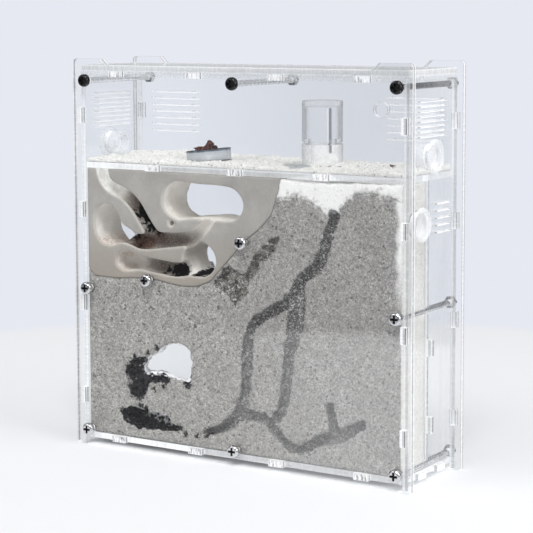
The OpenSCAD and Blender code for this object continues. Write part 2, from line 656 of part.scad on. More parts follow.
module food_portion() {
    k = dish_r / 11.5;
    color("maroon") on_dish() translate([0, 0, dish_bottom + 0.05]) scale([k, k, dish_h / 6.4]) {
        hull() {
            translate([0.5, -0.5, 4]) scale([1.5, 0.95, 1]) sphere(r = 3.6, $fn = 14);
            translate([1.2, 0.2, 8]) sphere(r = 2.6, $fn = 12);
            translate([0.2, 0, 0.7]) cylinder(r = 4.4, h = 1.4, center = true, $fn = 12);
        }
        hull() {
            translate([-1, 0, 5]) sphere(r = 2.9, $fn = 12);
            translate([-6.2, 0.4, 5.6]) sphere(r = 2, $fn = 12);
            translate([-9.4, 0.2, 6.6]) sphere(r = 1, $fn = 10);
        }
        hull() {
            translate([1, -1, 6.2]) sphere(r = 2.6, $fn = 12);
            translate([6, -1.6, 6.2]) sphere(r = 1.8, $fn = 12);
            translate([5, -1, 2.6]) sphere(r = 1.6, $fn = 12);
        }
    }
}

// Scraps [share of the way from the feeder's base to the wall, y, radius, turn]
scraps = [[0.08, -5, 1.1, 160], [0.59, -6, 2, 240]];
function scrap_x(s) = feeder_x + base_r + s[0] * (wall_in - feeder_x - base_r);
module food_scraps() {
    color("sienna") for (s = scraps)
        translate([scrap_x(s), bay_y + s[1], arena_z + sand_at(scrap_x(s)) + s[2] * 0.42 + 0.1])
            rotate([0, 0, s[3]]) hull() {
                scale([1, 0.7, 0.42]) sphere(r = s[2], $fn = 12);
                translate([s[2] * 0.7, 0, s[2] * 0.5]) scale([1, 0.8, 0.6])
                    sphere(r = s[2] * 0.5, $fn = 10);
            }
}

// ---------- water feeder ----------
module at_feeder(z) { translate([feeder_at[0], feeder_at[1], arena_z + z]) children(); }
module tube(ro, ri, h) {
    difference() {
        cylinder(r = ro, h = h, $fn = 64);
        translate([0, 0, -1]) cylinder(r = ri, h = h + 2, $fn = 64);
    }
}

module feeder_base() {
    color("lightcyan", 0.4) at_feeder(0) cylinder(r = base_r, h = base_t, $fn = 96);
}

module feeder_sleeve() {
    color("lightcyan", 0.4) difference() {
        at_feeder(base_t) tube(sleeve_r, sleeve_bore_r, sleeve_h);
        at_feeder(base_t) translate([0, -sleeve_r, sleeve_h / 2])
            cube([sleeve_slot, sleeve_r, sleeve_h + 2], center = true);
    }
}

module feeder_wick() {
    color("ivory") at_feeder(base_t)
        cylinder(r = sleeve_bore_r - 0.2, h = min(wick_h, sleeve_h - neck_l - 0.4));
}

bottle_z = base_t + sleeve_h + shoulder_gap;
neck_r = sleeve_bore_r - neck_gap;
module feeder_bottle() {
    w = bottle_wall;
    d = -neck_l - shoulder_gap;
    arc = [for (a = [-90 : 15 : 0])
        [bottle_r - bottle_round * (1 - cos(a)), bottle_round * (1 + sin(a))]];
    color("lightcyan", 0.4) at_feeder(bottle_z) rotate_extrude($fn = 64) polygon(concat(
        [[neck_r - w, d], [neck_r, d], [neck_r, 0]], arc, [[bottle_r, bottle_h],
        [bottle_r - w, bottle_h], [bottle_r - w, w + 1], [neck_r - w, w + 1]]));
}

module feeder_cap() {
    color("lightcyan", 0.4) at_feeder(bottle_z + bottle_h) rotate_extrude($fn = 64) polygon([
        [0, 0], [bottle_r, 0], [bottle_r, bottle_cap_t - 0.4], [bottle_r - 0.4, bottle_cap_t],
        [0, bottle_cap_t]]);
}

// ---------- bolts ----------
// Bolt through both sheets, with a domed head in front
module bolt(p) {
    n = 6;
    dome = [for (i = [0 : n]) let(a = 90 * i / n)
        [head_r * (0.62 + 0.38 * cos(a)), head_h * (0.45 + 0.55 * sin(a))]];
    translate([p[0], front_y, p[1]]) rotate([-90, 0, 0]) {
        cylinder(r = bolt_r, h = case_d + nut_t + bolt_tail);
        difference() {
            translate([0, 0, -head_h]) mirror([0, 0, 1]) translate([0, 0, -head_h])
                rotate_extrude() polygon(concat([[0, 0], [head_r, 0]], dome, [[0, head_h]]));
            translate([0, 0, -head_h + cross_d / 2]) {
                cube([cross_l, cross_w, cross_d + eps], center = true);
                cube([cross_w, cross_l, cross_d + eps], center = true);
            }
        }
    }
}
module nut(p) {
    translate([p[0], back_y + nut_t, p[1]]) rotate([90, 0, 0]) difference() {
        cylinder(r = nut_af / sqrt(3), h = nut_t, $fn = 6);
        translate([0, 0, -1]) cylinder(r = bolt_r + 0.05, h = nut_t + 2);
    }
}

module top_bolts() { color("black") for (p = top_bolt_list) bolt(p); }
module nest_bolts() { color("silver") for (p = nest_bolt_list) bolt(p); }
module bottom_bolts() { color("silver") for (p = bottom_bolt_list) bolt(p); }
module top_nuts() { color("silver") for (p = top_bolt_list) nut(p); }
module nest_nuts() { color("silver") for (p = nest_bolt_list) nut(p); }
module bottom_nuts() { color("silver") for (p = bottom_bolt_list) nut(p); }

// ---------- plugs ----------
// Plug in the wall on side s, with its flange outside
module plug(s, at) {
    r = plug_hole_r - plug_gap;
    f = plug_flange_r;
    t = plug_flange_t;
    l = plug_l;
    h = plug_hollow_r;
    translate([s * wall_out, at[0], at[1]]) rotate([0, s * 90, 0]) rotate_extrude()
        polygon([[0, t - 0.8], [f - 2.6, t - 0.6], [f - 1.6, t], [f - 0.8, t], [f, t - 0.7],
            [f, 0.3], [f - 0.3, 0], [r, 0], [r, -l + 1], [r - 0.7, -l], [h + 0.4, -l],
            [h, -l + 0.4], [h, -l / 2], [h - 0.6, 0.6 - l / 2], [0, 0.6 - l / 2]]);
}

module left_arena_plug() { color("white") plug(-1, arena_plug_at); }
module right_arena_plug() { color("white") plug(1, arena_plug_at); }
module right_nest_plug() { color("white") plug(1, nest_plug_at); }

front_panel();
back_panel();
left_wall();
right_wall();
roof_panel();
lid();
floor_panel();
arena_floor();
nest_partition();
nest_insert();
nest_sand();
pale_nest_sand();
arena_sand();
top_bolts();
nest_bolts();
bottom_bolts();
top_nuts();
nest_nuts();
bottom_nuts();
left_arena_plug();
right_arena_plug();
right_nest_plug();
feeding_dish();
food_portion();
food_scraps();
feeder_base();
feeder_sleeve();
feeder_wick();
feeder_bottle();
feeder_cap();
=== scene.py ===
import math
import bpy
import numpy as np
import openvdb
from mathutils import Matrix, Vector


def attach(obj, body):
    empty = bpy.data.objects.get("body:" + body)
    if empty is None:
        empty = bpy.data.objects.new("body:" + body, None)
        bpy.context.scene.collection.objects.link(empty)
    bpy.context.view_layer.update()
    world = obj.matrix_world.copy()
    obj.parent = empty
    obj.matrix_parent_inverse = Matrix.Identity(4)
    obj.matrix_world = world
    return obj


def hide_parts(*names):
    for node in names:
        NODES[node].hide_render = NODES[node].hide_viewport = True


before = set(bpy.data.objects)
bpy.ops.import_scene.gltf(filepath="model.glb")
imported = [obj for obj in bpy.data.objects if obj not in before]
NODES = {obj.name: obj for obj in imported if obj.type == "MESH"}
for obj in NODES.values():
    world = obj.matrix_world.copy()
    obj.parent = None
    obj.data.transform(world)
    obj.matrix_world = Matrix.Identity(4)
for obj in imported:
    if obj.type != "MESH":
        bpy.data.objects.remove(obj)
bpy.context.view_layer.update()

# Camera, fitted to the photograph
CAMERA_AT = (0.4822, -0.7603, 0.2290)
CAMERA_TURN, CAMERA_DOWN, CAMERA_ROLL = 32.277, 5.767, -0.179
LENS, SENSOR, SHIFT_Y = 119.9, 36.0, -0.1435

# Lamps and backdrop
SUN_FROM, SUN_STRENGTH, SUN_ANGLE = (0.35, -0.62, 0.95), 1.75, 25
FILLS = (("fill_left", (-0.6, -0.75, 0.7), 0.6, 2.7), ("fill_right", (0.85, -0.1, 0.5), 0.5, 3.4))
AIMED_AT = (0, 0, 0.1)
BACKDROP = (0.79, 0.815, 0.88, 1)       # pale paper behind the part, as the camera sees it
MIRRORED = (0.2, 0.205, 0.22, 1)        # the same as glossy surfaces see it
ROOM_LIGHT = (0.44, 0.44, 0.44, 1)
FLOOR_RADIUS, FLOOR_SIDES = 8.0, 96
PAPER_BENDS = (0.385, 0.425)            # where the floor turns into the backdrop, from the middle

# Places shared with the model, in millimetres
IN_FRONT, WALL, FLOOR, ARENA = -25.0, 94.0, 6.4, 150.5
INSERT_X, INSERT_TOP = -93.8, 147.3     # upper left corner of the insert
INNER, SAND_BACK = 93.8, -1.6           # half the width between the walls, and the sand's rear
BACK_FACE = 22.8                        # depth where the rear face of sand and insert begins
SHAFT_ROOM = 1.75                       # radius of the holes round the bolts in the sand
TOP_BOLTS = [(-92, 193.2), (0, 193.2), (92, 193.2)]
NEST_BOLTS = [(-92, 84), (-53.4, 91.1), (4.8, 114.3), (92, 84)]
BOTTOM_BOLTS = [(-92, 8.4), (0, 8.4), (92, 8.4)]
PLUG_Y, PLUG_Z, PLUG_ROOM, PLUG_END = -13.25, 127.5, 6.3, 87.1
FEEDER_X, FEEDER_ROOM, FEEDER_TOP, FEEDER_HOLE = 35, 20.2, 153.1, 10.6
DISH_X, DISH_Y, DISH_Z, DISH_TILT, DISH_ROOM, DISH_HIGH = -27.5, -8, 152.0, 6, 11.75, 6.4
ENTRANCE_X, ENTRANCE_Y, ENTRANCE_ROOM = -84.5, -20.2, 4.1


def add_object(name, data):
    o = bpy.data.objects.new(name, data)
    bpy.context.scene.collection.objects.link(o)
    return o


def stand_for(o, node, body):
    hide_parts(node)
    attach(o, body)


# ---------- camera ----------
def set_camera():
    cam = add_object("camera", bpy.data.cameras.new("camera"))
    turn = (Matrix.Rotation(math.radians(CAMERA_TURN), 4, "Z")
            @ Matrix.Rotation(math.radians(90 - CAMERA_DOWN), 4, "X")
            @ Matrix.Rotation(math.radians(CAMERA_ROLL), 4, "Z"))
    cam.matrix_world = Matrix.Translation(CAMERA_AT) @ turn
    cam.data.lens, cam.data.sensor_width, cam.data.shift_y = LENS, SENSOR, SHIFT_Y
    cam.data.clip_start, cam.data.clip_end = 0.02, 50.0
    bpy.context.scene.camera = cam


# ---------- small node-tree builder ----------
def srgb(r, g, b):
    def lin(c):
        c /= 255.0
        return c / 12.92 if c <= 0.04045 else ((c + 0.055) / 1.055) ** 2.4
    return (lin(r), lin(g), lin(b), 1.0)


class Tree:
    def __init__(self, name, world=None):
        if world is None:
            self.mat = bpy.data.materials.new(name)
            self.mat.use_nodes = True
            self.t = self.mat.node_tree
            kind = "ShaderNodeOutputMaterial"
        else:
            world.use_nodes = True
            self.t = world.node_tree
            kind = "ShaderNodeOutputWorld"
        self.t.nodes.clear()
        self.out = self.add(kind)

    def add(self, kind, **props):
        n = self.t.nodes.new(kind)
        for k, v in props.items():
            setattr(n, k, v)
        return n

    def put(self, socket, v):
        if isinstance(v, bpy.types.NodeSocket):
            self.t.links.new(v, socket)
        elif v is not None:
            socket.default_value = v

    def node(self, kind, ins, out=0, **props):
        """Output of a new shader node with its inputs set."""
        n = self.add("ShaderNode" + kind, **props)
        for k, v in ins.items():
            self.put(n.inputs[k], v)
        return n.outputs[out]

    def surface(self, shader):
        self.put(self.out.inputs["Surface"], shader)

    def math(self, op, a, b=0.5, c=None, clamp=False):
        return self.node("Math", {0: a, 1: b, 2: c}, operation=op, use_clamp=clamp)

    def plus(self, a, b, clamp=False):
        return self.math("ADD", a, b, clamp=clamp)

    def minus(self, a, b):
        return self.math("SUBTRACT", a, b)

    def times(self, a, b, clamp=False):
        return self.math("MULTIPLY", a, b, clamp=clamp)

    def scaled(self, a, k, c, clamp=False):
        """a times k, plus c."""
        return self.math("MULTIPLY_ADD", a, k, c, clamp)

    def most(self, a, b):
        return self.math("MAXIMUM", a, b)

    def size(self, a):
        return self.math("ABSOLUTE", a)

    def away(self, a, b):
        """Length of the sides a and b of a right angle's third side."""
        return self.math("SQRT", self.plus(self.times(a, a), self.times(b, b)))

    def step(self, x, lo, hi, a=0.0, b=1.0):
        """Smooth change from a to b as x goes from lo to hi."""
        return self.node("MapRange", {0: x, 1: lo, 2: hi, 3: a, 4: b},
                         interpolation_type="SMOOTHSTEP")

    def mix(self, f, a, b):
        return self.node("Mix", {0: f, 6: a, 7: b}, 2, data_type="RGBA")

    def ramp(self, f, stops):
        n = self.add("ShaderNodeValToRGB")
        e = n.color_ramp.elements
        while len(e) < len(stops):
            e.new(0.5)
        for i, (p, c) in enumerate(stops):
            e[i].position = p
            e[i].color = c if len(c) == 4 else (*c, 1.0)
        self.put(n.inputs[0], f)
        return n.outputs[0]

    def place(self, scale=(1.0, 1.0, 1.0)):
        """Point in the part's own frame, times a scale."""
        tc = self.add("ShaderNodeTexCoord").outputs["Object"]
        if scale == (1.0, 1.0, 1.0):
            return tc
        return self.node("VectorMath", {0: tc, 1: scale}, operation="MULTIPLY")

    def split(self, v):
        n = self.add("ShaderNodeSeparateXYZ")
        self.put(n.inputs[0], v)
        return n.outputs

    def noise(self, v, scale, detail=2.0, rough=0.5, warp=0.0):
        return self.node("TexNoise", {"Vector": v, "Scale": scale, "Detail": detail,
                                      "Roughness": rough, "Distortion": warp}, "Fac")

    def cells(self, v, scale, out="Color"):
        return self.node("TexVoronoi", {"Vector": v, "Scale": scale}, out)

    def bump(self, height, strength, distance, normal=None):
        return self.node("Bump", {"Normal": normal, "Strength": strength, "Distance": distance,
                                  "Height": height})

    def principled(self, **v):
        return self.node("BsdfPrincipled", {k.replace("_", " "): x for k, x in v.items()})

    def clear(self, colour):
        return self.node("BsdfTransparent", {0: colour})

    def gloss(self, colour, rough, normal=None):
        return self.node("BsdfAnisotropic", {"Color": colour, "Roughness": rough,
                                             "Normal": normal})

    def matt(self, colour, normal=None):
        return self.node("BsdfDiffuse", {"Color": colour, "Normal": normal})

    def flat(self):
        return self.add("ShaderNodeNewGeometry").outputs["True Normal"]

    def rays(self):
        return self.add("ShaderNodeLightPath").outputs

    def looks(self):
        """1 for what the camera sees, also through something clear."""
        lp = self.rays()
        return self.most(lp["Is Camera Ray"], lp["Is Transmission Ray"])

    def shadow(self, lit, dark):
        """One value for what is seen and one for light on its way to something."""
        return self.scaled(self.rays()["Is Shadow Ray"], self.minus(dark, lit), lit)

    def blend(self, f, a, b):
        return self.node("MixShader", {0: f, 1: a, 2: b})

    def skin(self, cover, tint, body):
        """A body that covers a clear one by a share."""
        self.surface(self.blend(cover, self.clear((*tint, 1)), body))
        return self.mat

    def facing(self, normal=None):
        return self.node("LayerWeight", {"Normal": normal}, "Facing")

    def mark(self, name="mark"):
        """Red, green and blue of a colour attribute of the mesh."""
        c = self.node("Attribute", {}, "Color", attribute_name=name)
        s = self.add("ShaderNodeSeparateColor")
        self.put(s.inputs[0], c)
        return s.outputs[:3]


# ---------- world, lamps, floor ----------
def set_world():
    world = bpy.data.worlds.new("studio")
    bpy.context.scene.world = world
    t = Tree("studio", world)
    c = t.mix(t.rays()["Is Glossy Ray"], ROOM_LIGHT, MIRRORED)
    bg = t.add("ShaderNodeBackground")
    t.put(bg.inputs[0], t.mix(t.looks(), c, BACKDROP))
    t.surface(bg.outputs[0])


def set_lamps():
    sun = bpy.data.lights.new("key", "SUN")
    sun.energy, sun.angle = SUN_STRENGTH, math.radians(SUN_ANGLE)
    o = add_object("key", sun)
    o.rotation_euler = Vector(SUN_FROM).to_track_quat("Z", "Y").to_euler()
    for name, at, size, power in FILLS:
        fill = bpy.data.lights.new(name, "AREA")
        fill.energy, fill.size = power, size
        o = add_object(name, fill)
        o.location = at
        o.rotation_euler = (Vector(at) - Vector(AIMED_AT)).to_track_quat("Z", "Y").to_euler()


def set_floor():
    n = FLOOR_SIDES
    turns = [2 * math.pi * i / n for i in range(n)]
    rim = [(FLOOR_RADIUS * math.cos(a), FLOOR_RADIUS * math.sin(a), 0) for a in turns]
    me = bpy.data.meshes.new("floor")
    me.from_pydata([(0, 0, 0)] + rim, [], [(0, i + 1, (i + 1) % n + 1) for i in range(n)])
    floor = add_object("floor", me)
    t = Tree("floor_paper")
    x, y, _ = t.split(t.place())
    far = t.step(t.away(x, y), *PAPER_BENDS)
    grain = t.noise(t.place(), 900.0, 3.0)
    near = t.mix(grain, (0.79, 0.8, 0.82, 1), (0.83, 0.84, 0.86, 1))
    c = t.mix(far, near, t.mix(t.rays()["Is Glossy Ray"], near, MIRRORED))
    paper = t.principled(Base_Color=c, Roughness=0.9, Specular_IOR_Level=0.1)
    glow = t.add("ShaderNodeEmission")
    glow.inputs[0].default_value = BACKDROP
    t.surface(t.blend(t.times(far, t.looks()), paper, glow.outputs[0]))
    floor.data.materials.append(t.mat)


# ---------- clear sheet ----------
def greys(rows):
    return [(p, srgb(g, min(g + 1, 255), min(g + 2, 255))) for p, g in rows]


def vent_lips(t, axis, xyz, vent):
    """Frosted lip under each slot of a vent."""
    mid, length, top, pitch, count = [v / 1000 for v in vent[:4]] + [vent[4]]
    along = xyz[1] if axis == 0 else t.size(xyz[0])
    inside = t.step(t.size(t.minus(along, mid)), length / 2 + 0.0003, length / 2)
    down = t.minus(top, xyz[2])
    off = t.math("FLOORED_MODULO", t.plus(down, pitch / 2), pitch)
    off = t.minus(off, pitch / 2)
    lips = t.times(t.step(off, 0.0002, 0.00035), t.step(off, 0.0009, 0.0007))
    lips = t.times(lips, inside)
    lips = t.times(lips, t.step(down, -0.0012, -0.0009))
    last = pitch * (count - 1)
    return t.times(lips, t.step(down, last + 0.0012, last + 0.0009))


def broad_face(t, sheet, xyz, flat):
    """Clear, faintly smeared and dusty, and shinier where it is seen at a slant."""
    axis, shine, tint = sheet["axis"], sheet["shine"], sheet["tint"]
    rim = t.math("POWER", t.facing(flat), 3.6)
    dust = t.noise(t.place(), 55.0, 4.0, 0.65)
    smear = t.noise(t.place((1.0, 1.0, 0.25)), 40.0, 3.0, 0.6, 0.6)
    if "shine_from" in sheet:           # left and right end of the change, and shine at the left; shine set by position is a painted reflection
        left, right, least = sheet["shine_from"]
        shine = t.step(xyz[0], left, right, least, shine)
    f = t.scaled(rim, 0.25 if axis == 2 else 0.55, shine, clamp=True)
    rough = t.step(smear, 0.3, 0.75, 0.012, 0.045)
    clear = t.blend(t.shadow(f, 0.02), t.clear((tint * 0.997, tint, tint * 1.002, 1)),
                    t.gloss((1, 1, 1, 1), rough, flat))
    fog = t.times(t.step(dust, 0.35, 0.8, 0.4, 1.8), sheet["haze"])
    clear = t.blend(t.shadow(fog, 0.0), clear, t.matt((0.95, 0.96, 0.98, 1), flat))
    if "vent" in sheet:
        lips = vent_lips(t, axis, xyz, sheet["vent"])
        clear = t.blend(t.shadow(t.times(lips, 0.7), 0.0), clear,
                        t.matt((0.98, 0.98, 0.99, 1), flat))
    return clear


def cut_edge(t, sheet, xyz, n, flat):
    """Whitish, in bands over the thickness."""
    axis, cover = sheet["axis"], sheet["cover"]
    low, high = sheet["span"]
    k = t.math("DIVIDE", t.minus(xyz[axis], low / 1000), (high - low) / 1000)
    s = [900.0, 900.0, 900.0]
    s[axis] = 60.0
    cut = t.noise(t.place(tuple(s)), 1.0, 3.0, 0.7)
    slow = t.noise(t.place(), 90.0, 3.0, 0.6)
    tone = t.ramp(k, greys(sheet["bands"]))
    if "rear" in sheet:                 # the end that is seen from inside, at the back
        tone = t.mix(t.step(n[1], 0.7, 0.9), tone, t.ramp(k, greys(sheet["rear"])))
    tone = t.mix(t.step(cut, 0.4, 0.8, 0.0, 0.3), tone, srgb(250, 251, 252))
    tone = t.mix(t.step(slow, 0.5, 0.75, 0.0, 0.3), tone, srgb(204, 207, 212))
    over = t.step(cut, 0.25, 0.75, cover - 0.08, cover + 0.08)
    end = t.times(t.step(t.times(xyz[1], n[1]), 0.0279, 0.02795), t.step(t.size(n[1]), 0.9, 0.95))
    if axis == 2:                       # less cover on ends that face back, so they show lighter as painted light; tab ends in upright sheets
        over = t.times(over, t.step(n[1], 0.5, 0.9, 1.0, 0.35))
        bar = t.noise(t.place((1.0, 0.02, 0.25)), 1100.0, 2.0, 0.7)
        tone = t.mix(end, tone, t.ramp(bar, greys([(0.36, 150), (0.46, 214), (0.6, 250)])))
        over = t.most(over, t.times(end, 0.72))
    else:                               # vent slots, their faces painted near white: a painted glow
        slot = t.times(t.step(t.size(n[2]), 0.4, 0.7), t.step(xyz[2], 0.1925, 0.192))
        tone = t.mix(slot, tone, srgb(254, 254, 255))
        over = t.most(over, t.times(slot, 0.97))
    if axis == 0:                       # painted shadow in the gap beside each tab's end
        tone = t.mix(t.times(end, t.step(k, 0.8, 0.88)), tone, srgb(60, 62, 64))
    body = t.principled(Base_Color=tone, Roughness=t.step(slow, 0.3, 0.7, 0.2, 0.34),
                        Specular_IOR_Level=0.4, Normal=t.bump(cut, 0.1, 0.0002, flat))
    return t.blend(t.shadow(over, 0.07), t.clear((0.98, 0.985, 0.99, 1)), body)


def sheet_material(name, sheet):
    """Clear sheet whose thickness runs along one axis."""
    t = Tree(name)
    flat = t.flat()
    n, xyz = t.split(flat), t.split(t.place())
    broad = t.step(t.size(n[sheet["axis"]]), 0.85, 0.95)
    t.surface(t.blend(broad, cut_edge(t, sheet, xyz, n, flat), broad_face(t, sheet, xyz, flat)))
    return t.mat


def finish_node(node, mat):
    o = NODES[node]
    if not o.data.materials:
        o.data.materials.append(mat)
    for slot in o.material_slots:
        slot.material = mat


# Each sheet: axis of its thickness, span over it in millimetres, shine and haze of the broad
# faces, their tint, how much its edges cover, and their tones over the thickness.
# vent: middle, length, first slot, pitch and number of slots
SHEETS = {
    "front_panel": dict(
        axis=1, span=(-28, -25), shine=0.095, haze=0.002, tint=0.99, cover=0.85,
        shine_from=(-0.05, 0.08, 0.01),
        bands=[(0.0, 246), (0.25, 226), (0.42, 136), (0.56, 150), (0.72, 236), (1.0, 238)]),
    "back_panel": dict(
        axis=1, span=(25, 28), shine=0.012, haze=0.008, tint=0.997, cover=0.85,
        vent=(71.25, 26.5, 185.85, 3.5, 7),
        bands=[(0.0, 118), (0.14, 190), (0.3, 238), (0.7, 232), (0.86, 180), (1.0, 100)]),
    "nest_partition": dict(
        axis=1, span=(-1.5, 1.5), shine=0.012, haze=0.015, tint=0.997, cover=0.85,
        bands=[(0.0, 244), (0.3, 236), (0.5, 158), (0.8, 146), (1.0, 222)]),
    "left_wall": dict(
        axis=0, span=(-97, -94), shine=0.02, haze=0.02, tint=0.994, cover=0.86,
        vent=(0, 28, 185.85, 2.4, 8),
        bands=[(0.0, 236), (0.3, 224), (0.6, 242), (0.85, 232), (1.0, 198)],
        rear=[(0.0, 60), (0.25, 92), (0.42, 232), (0.6, 232), (0.78, 96), (1.0, 66)]),
    "right_wall": dict(
        axis=0, span=(94, 97), shine=0.04, haze=0.07, tint=0.996, cover=0.86,
        bands=[(0.0, 232), (0.35, 246), (0.5, 186), (0.85, 178), (1.0, 232)])}
COVER_BANDS = [(0.0, 252), (0.08, 216), (0.3, 208), (0.75, 214), (0.92, 232), (1.0, 255)]
FLOOR_BANDS = [(0.0, 255), (0.2, 254), (0.5, 250), (0.8, 253), (1.0, 255)]
for sheet_name, low_face, misty, clearness, edge_cover, edge_bands in (
        ("roof_panel", 195.2, 0.02, 0.99, 0.3, COVER_BANDS),
        ("lid", 198.2, 0.02, 0.99, 0.82, COVER_BANDS),
        ("floor_panel", 3.4, 0.05, 0.985, 0.95, FLOOR_BANDS),
        ("arena_floor", 147.5, 0.05, 0.985, 0.85, FLOOR_BANDS)):
    SHEETS[sheet_name] = dict(axis=2, span=(low_face, low_face + 3), shine=0.04, haze=misty,
                              tint=clearness, cover=edge_cover, bands=edge_bands)


# ---------- solid fields, in millimetres ----------
def catmull(a, b, c, d, t):
    """Point between b and c on the curve through all four."""
    return 0.5 * (2 * b + (c - a) * t + (2 * a - 5 * b + 4 * c - d) * t * t
                  + (3 * b - a - 3 * c + d) * t ** 3)


def smooth(p, k=4):
    """Open line through the points, k steps from each to the next."""
    p = np.array(p, float)
    n = len(p)
    out = [catmull(p[max(i - 1, 0)], p[i], p[i + 1], p[min(i + 2, n - 1)], j / k)
           for i in range(n - 1) for j in range(k)]
    return np.array(out + [p[-1]])


def loop(p, k=4):
    """Closed line through the points."""
    p = np.array(p, float)
    n = len(p)
    return np.array([catmull(p[i - 1], p[i], p[(i + 1) % n], p[(i + 2) % n], j / k)
                     for i in range(n) for j in range(k)])


def inside(P, X, Z):
    """Signed distance to a closed outline, negative inside."""
    d = np.full(X.shape, 1e9)
    flip = np.zeros(X.shape, bool)
    for i in range(len(P)):
        a, b = P[i], P[(i + 1) % len(P)]
        e = b - a
        wx, wz = X - a[0], Z - a[1]
        t = np.clip((wx * e[0] + wz * e[1]) / max(e @ e, 1e-9), 0, 1)
        d = np.minimum(d, (wx - e[0] * t) ** 2 + (wz - e[1] * t) ** 2)
        c = (Z >= a[1], Z < b[1], e[0] * wz > e[1] * wx)
        flip ^= (c[0] & c[1] & c[2]) | ~(c[0] | c[1] | c[2])
    return np.where(flip, -1, 1) * np.sqrt(d)


def along(P, X, Z):
    """Distance to a line of [x, z, width], and half the width there."""
    best = np.full(X.shape, 1e9)
    c, r = best.copy(), np.ones(X.shape)
    for a, b in zip(P, P[1:]):
        e = b[:2] - a[:2]
        wx, wz = X - a[0], Z - a[1]
        t = np.clip((wx * e[0] + wz * e[1]) / max(e @ e, 1e-9), 0, 1)
        dist = np.hypot(wx - e[0] * t, wz - e[1] * t)
        half = (a[2] + (b[2] - a[2]) * t) / 2
        m = dist - half < best
        best[m], c[m], r[m] = (dist - half)[m], dist[m], half[m]
    return c, r


def groove(c, r, w, depth):
    """Run of half width r, with upright sides and a round bottom at a depth."""
    return np.where(w < depth - r, c, np.hypot(c, w - (depth - r))) - r


def both(a, b, r):
    """Intersection with its edge rounded to radius r."""
    a, b = a + r, b + r
    return np.minimum(np.maximum(a, b), 0) + np.hypot(np.maximum(a, 0), np.maximum(b, 0)) - r


def join(a, b, k):
    """Union, blended over k."""
    h = np.clip(0.5 + 0.5 * (b - a) / k, 0, 1)
    return b + (a - b) * h - k * h * (1 - h)


def lumps(shape, cell, seed):
    """Smooth random field between -1 and 1, with lumps of so many cells."""
    rng = np.random.default_rng(seed)
    g = rng.random([int(n / cell) + 3 for n in shape]).astype(np.float32) * 2 - 1
    for ax, n in enumerate(shape):
        pos = np.arange(n) / cell
        i = pos.astype(int)
        f = pos - i
        f = (f * f * (3 - 2 * f)).astype(np.float32)
        f = f.reshape([-1 if k == ax else 1 for k in range(len(shape))])
        g = np.take(g, i, ax) * (1 - f) + np.take(g, i + 1, ax) * f
    return g


class Block:
    """Grid of points over a box, in millimetres."""
    def __init__(self, lo, hi, h):
        self.lo, self.h = np.array(lo, float) - 2 * h, h
        n = [int(math.ceil((b - a) / h)) + 5 for a, b in zip(lo, hi)]
        self.n = n
        x, y, z = [self.lo[i] + h * np.arange(n[i]) for i in range(3)]
        self.x, self.y, self.z = x[:, None, None], y[None, :, None], z[None, None, :]
        self.X, self.Z = np.meshgrid(x, z, indexing="ij")
        self.depth = self.y - IN_FRONT

    def inside(self, outline):
        return inside(outline, self.X, self.Z)

    def sample(self, field, pts):
        """A field over x and z, read at points."""
        i = np.clip(((pts[:, 0] - self.lo[0]) / self.h).round().astype(int), 0, self.n[0] - 1)
        k = np.clip(((pts[:, 2] - self.lo[2]) / self.h).round().astype(int), 0, self.n[2] - 1)
        return field[i, k]

    def skin(self, sdf, ease):
        """Mesh where the field is 0, with flat parts merged by ease."""
        g = openvdb.FloatGrid()
        g.background = 3.0
        g.copyFromArray(np.clip(sdf / self.h, -3, 3).astype(np.float32), tolerance=0.0)
        pts, tris, quads = g.convertToPolygons(isovalue=0.0, adaptivity=ease)
        return pts * self.h + self.lo, tris, quads


def make_mesh(name, pts, tris, quads, mat):
    me = bpy.data.meshes.new(name)
    me.vertices.add(len(pts))
    me.vertices.foreach_set("co", (np.asarray(pts, np.float32) / 1000).ravel())
    idx = np.concatenate([tris.ravel(), quads.ravel()]).astype(np.int32)
    size = np.concatenate([np.full(len(tris), 3), np.full(len(quads), 4)])
    start = np.concatenate([[0], np.cumsum(size)[:-1]]).astype(np.int32)
    me.loops.add(len(idx))
    me.loops.foreach_set("vertex_index", idx)
    me.polygons.add(len(size))
    me.polygons.foreach_set("loop_start", start)
    me.update(calc_edges=True)
    me.validate()
    me.shade_smooth()
    me.materials.append(mat)
    return add_object(name, me)


def flat(f):
    """A field over x and z, spread over the depth."""
    return f[:, None, :]


def set_mark(o, r, g, b, name="mark"):
    """Colour attribute that the materials read."""
    n = len(o.data.vertices)
    v = np.ones((n, 4), np.float32)
    for i, c in enumerate((r, g, b)):
        v[:, i] = np.clip(c, 0, 1)
    a = o.data.color_attributes.new(name, "FLOAT_COLOR", "POINT")
    a.data.foreach_set("color", v.ravel())


def sstep(x, lo, hi):
    """Smooth change from 0 to 1 as x goes from lo to hi."""
    t = np.clip((x - lo) / (hi - lo), 0, 1)
    return t * t * (3 - 2 * t)


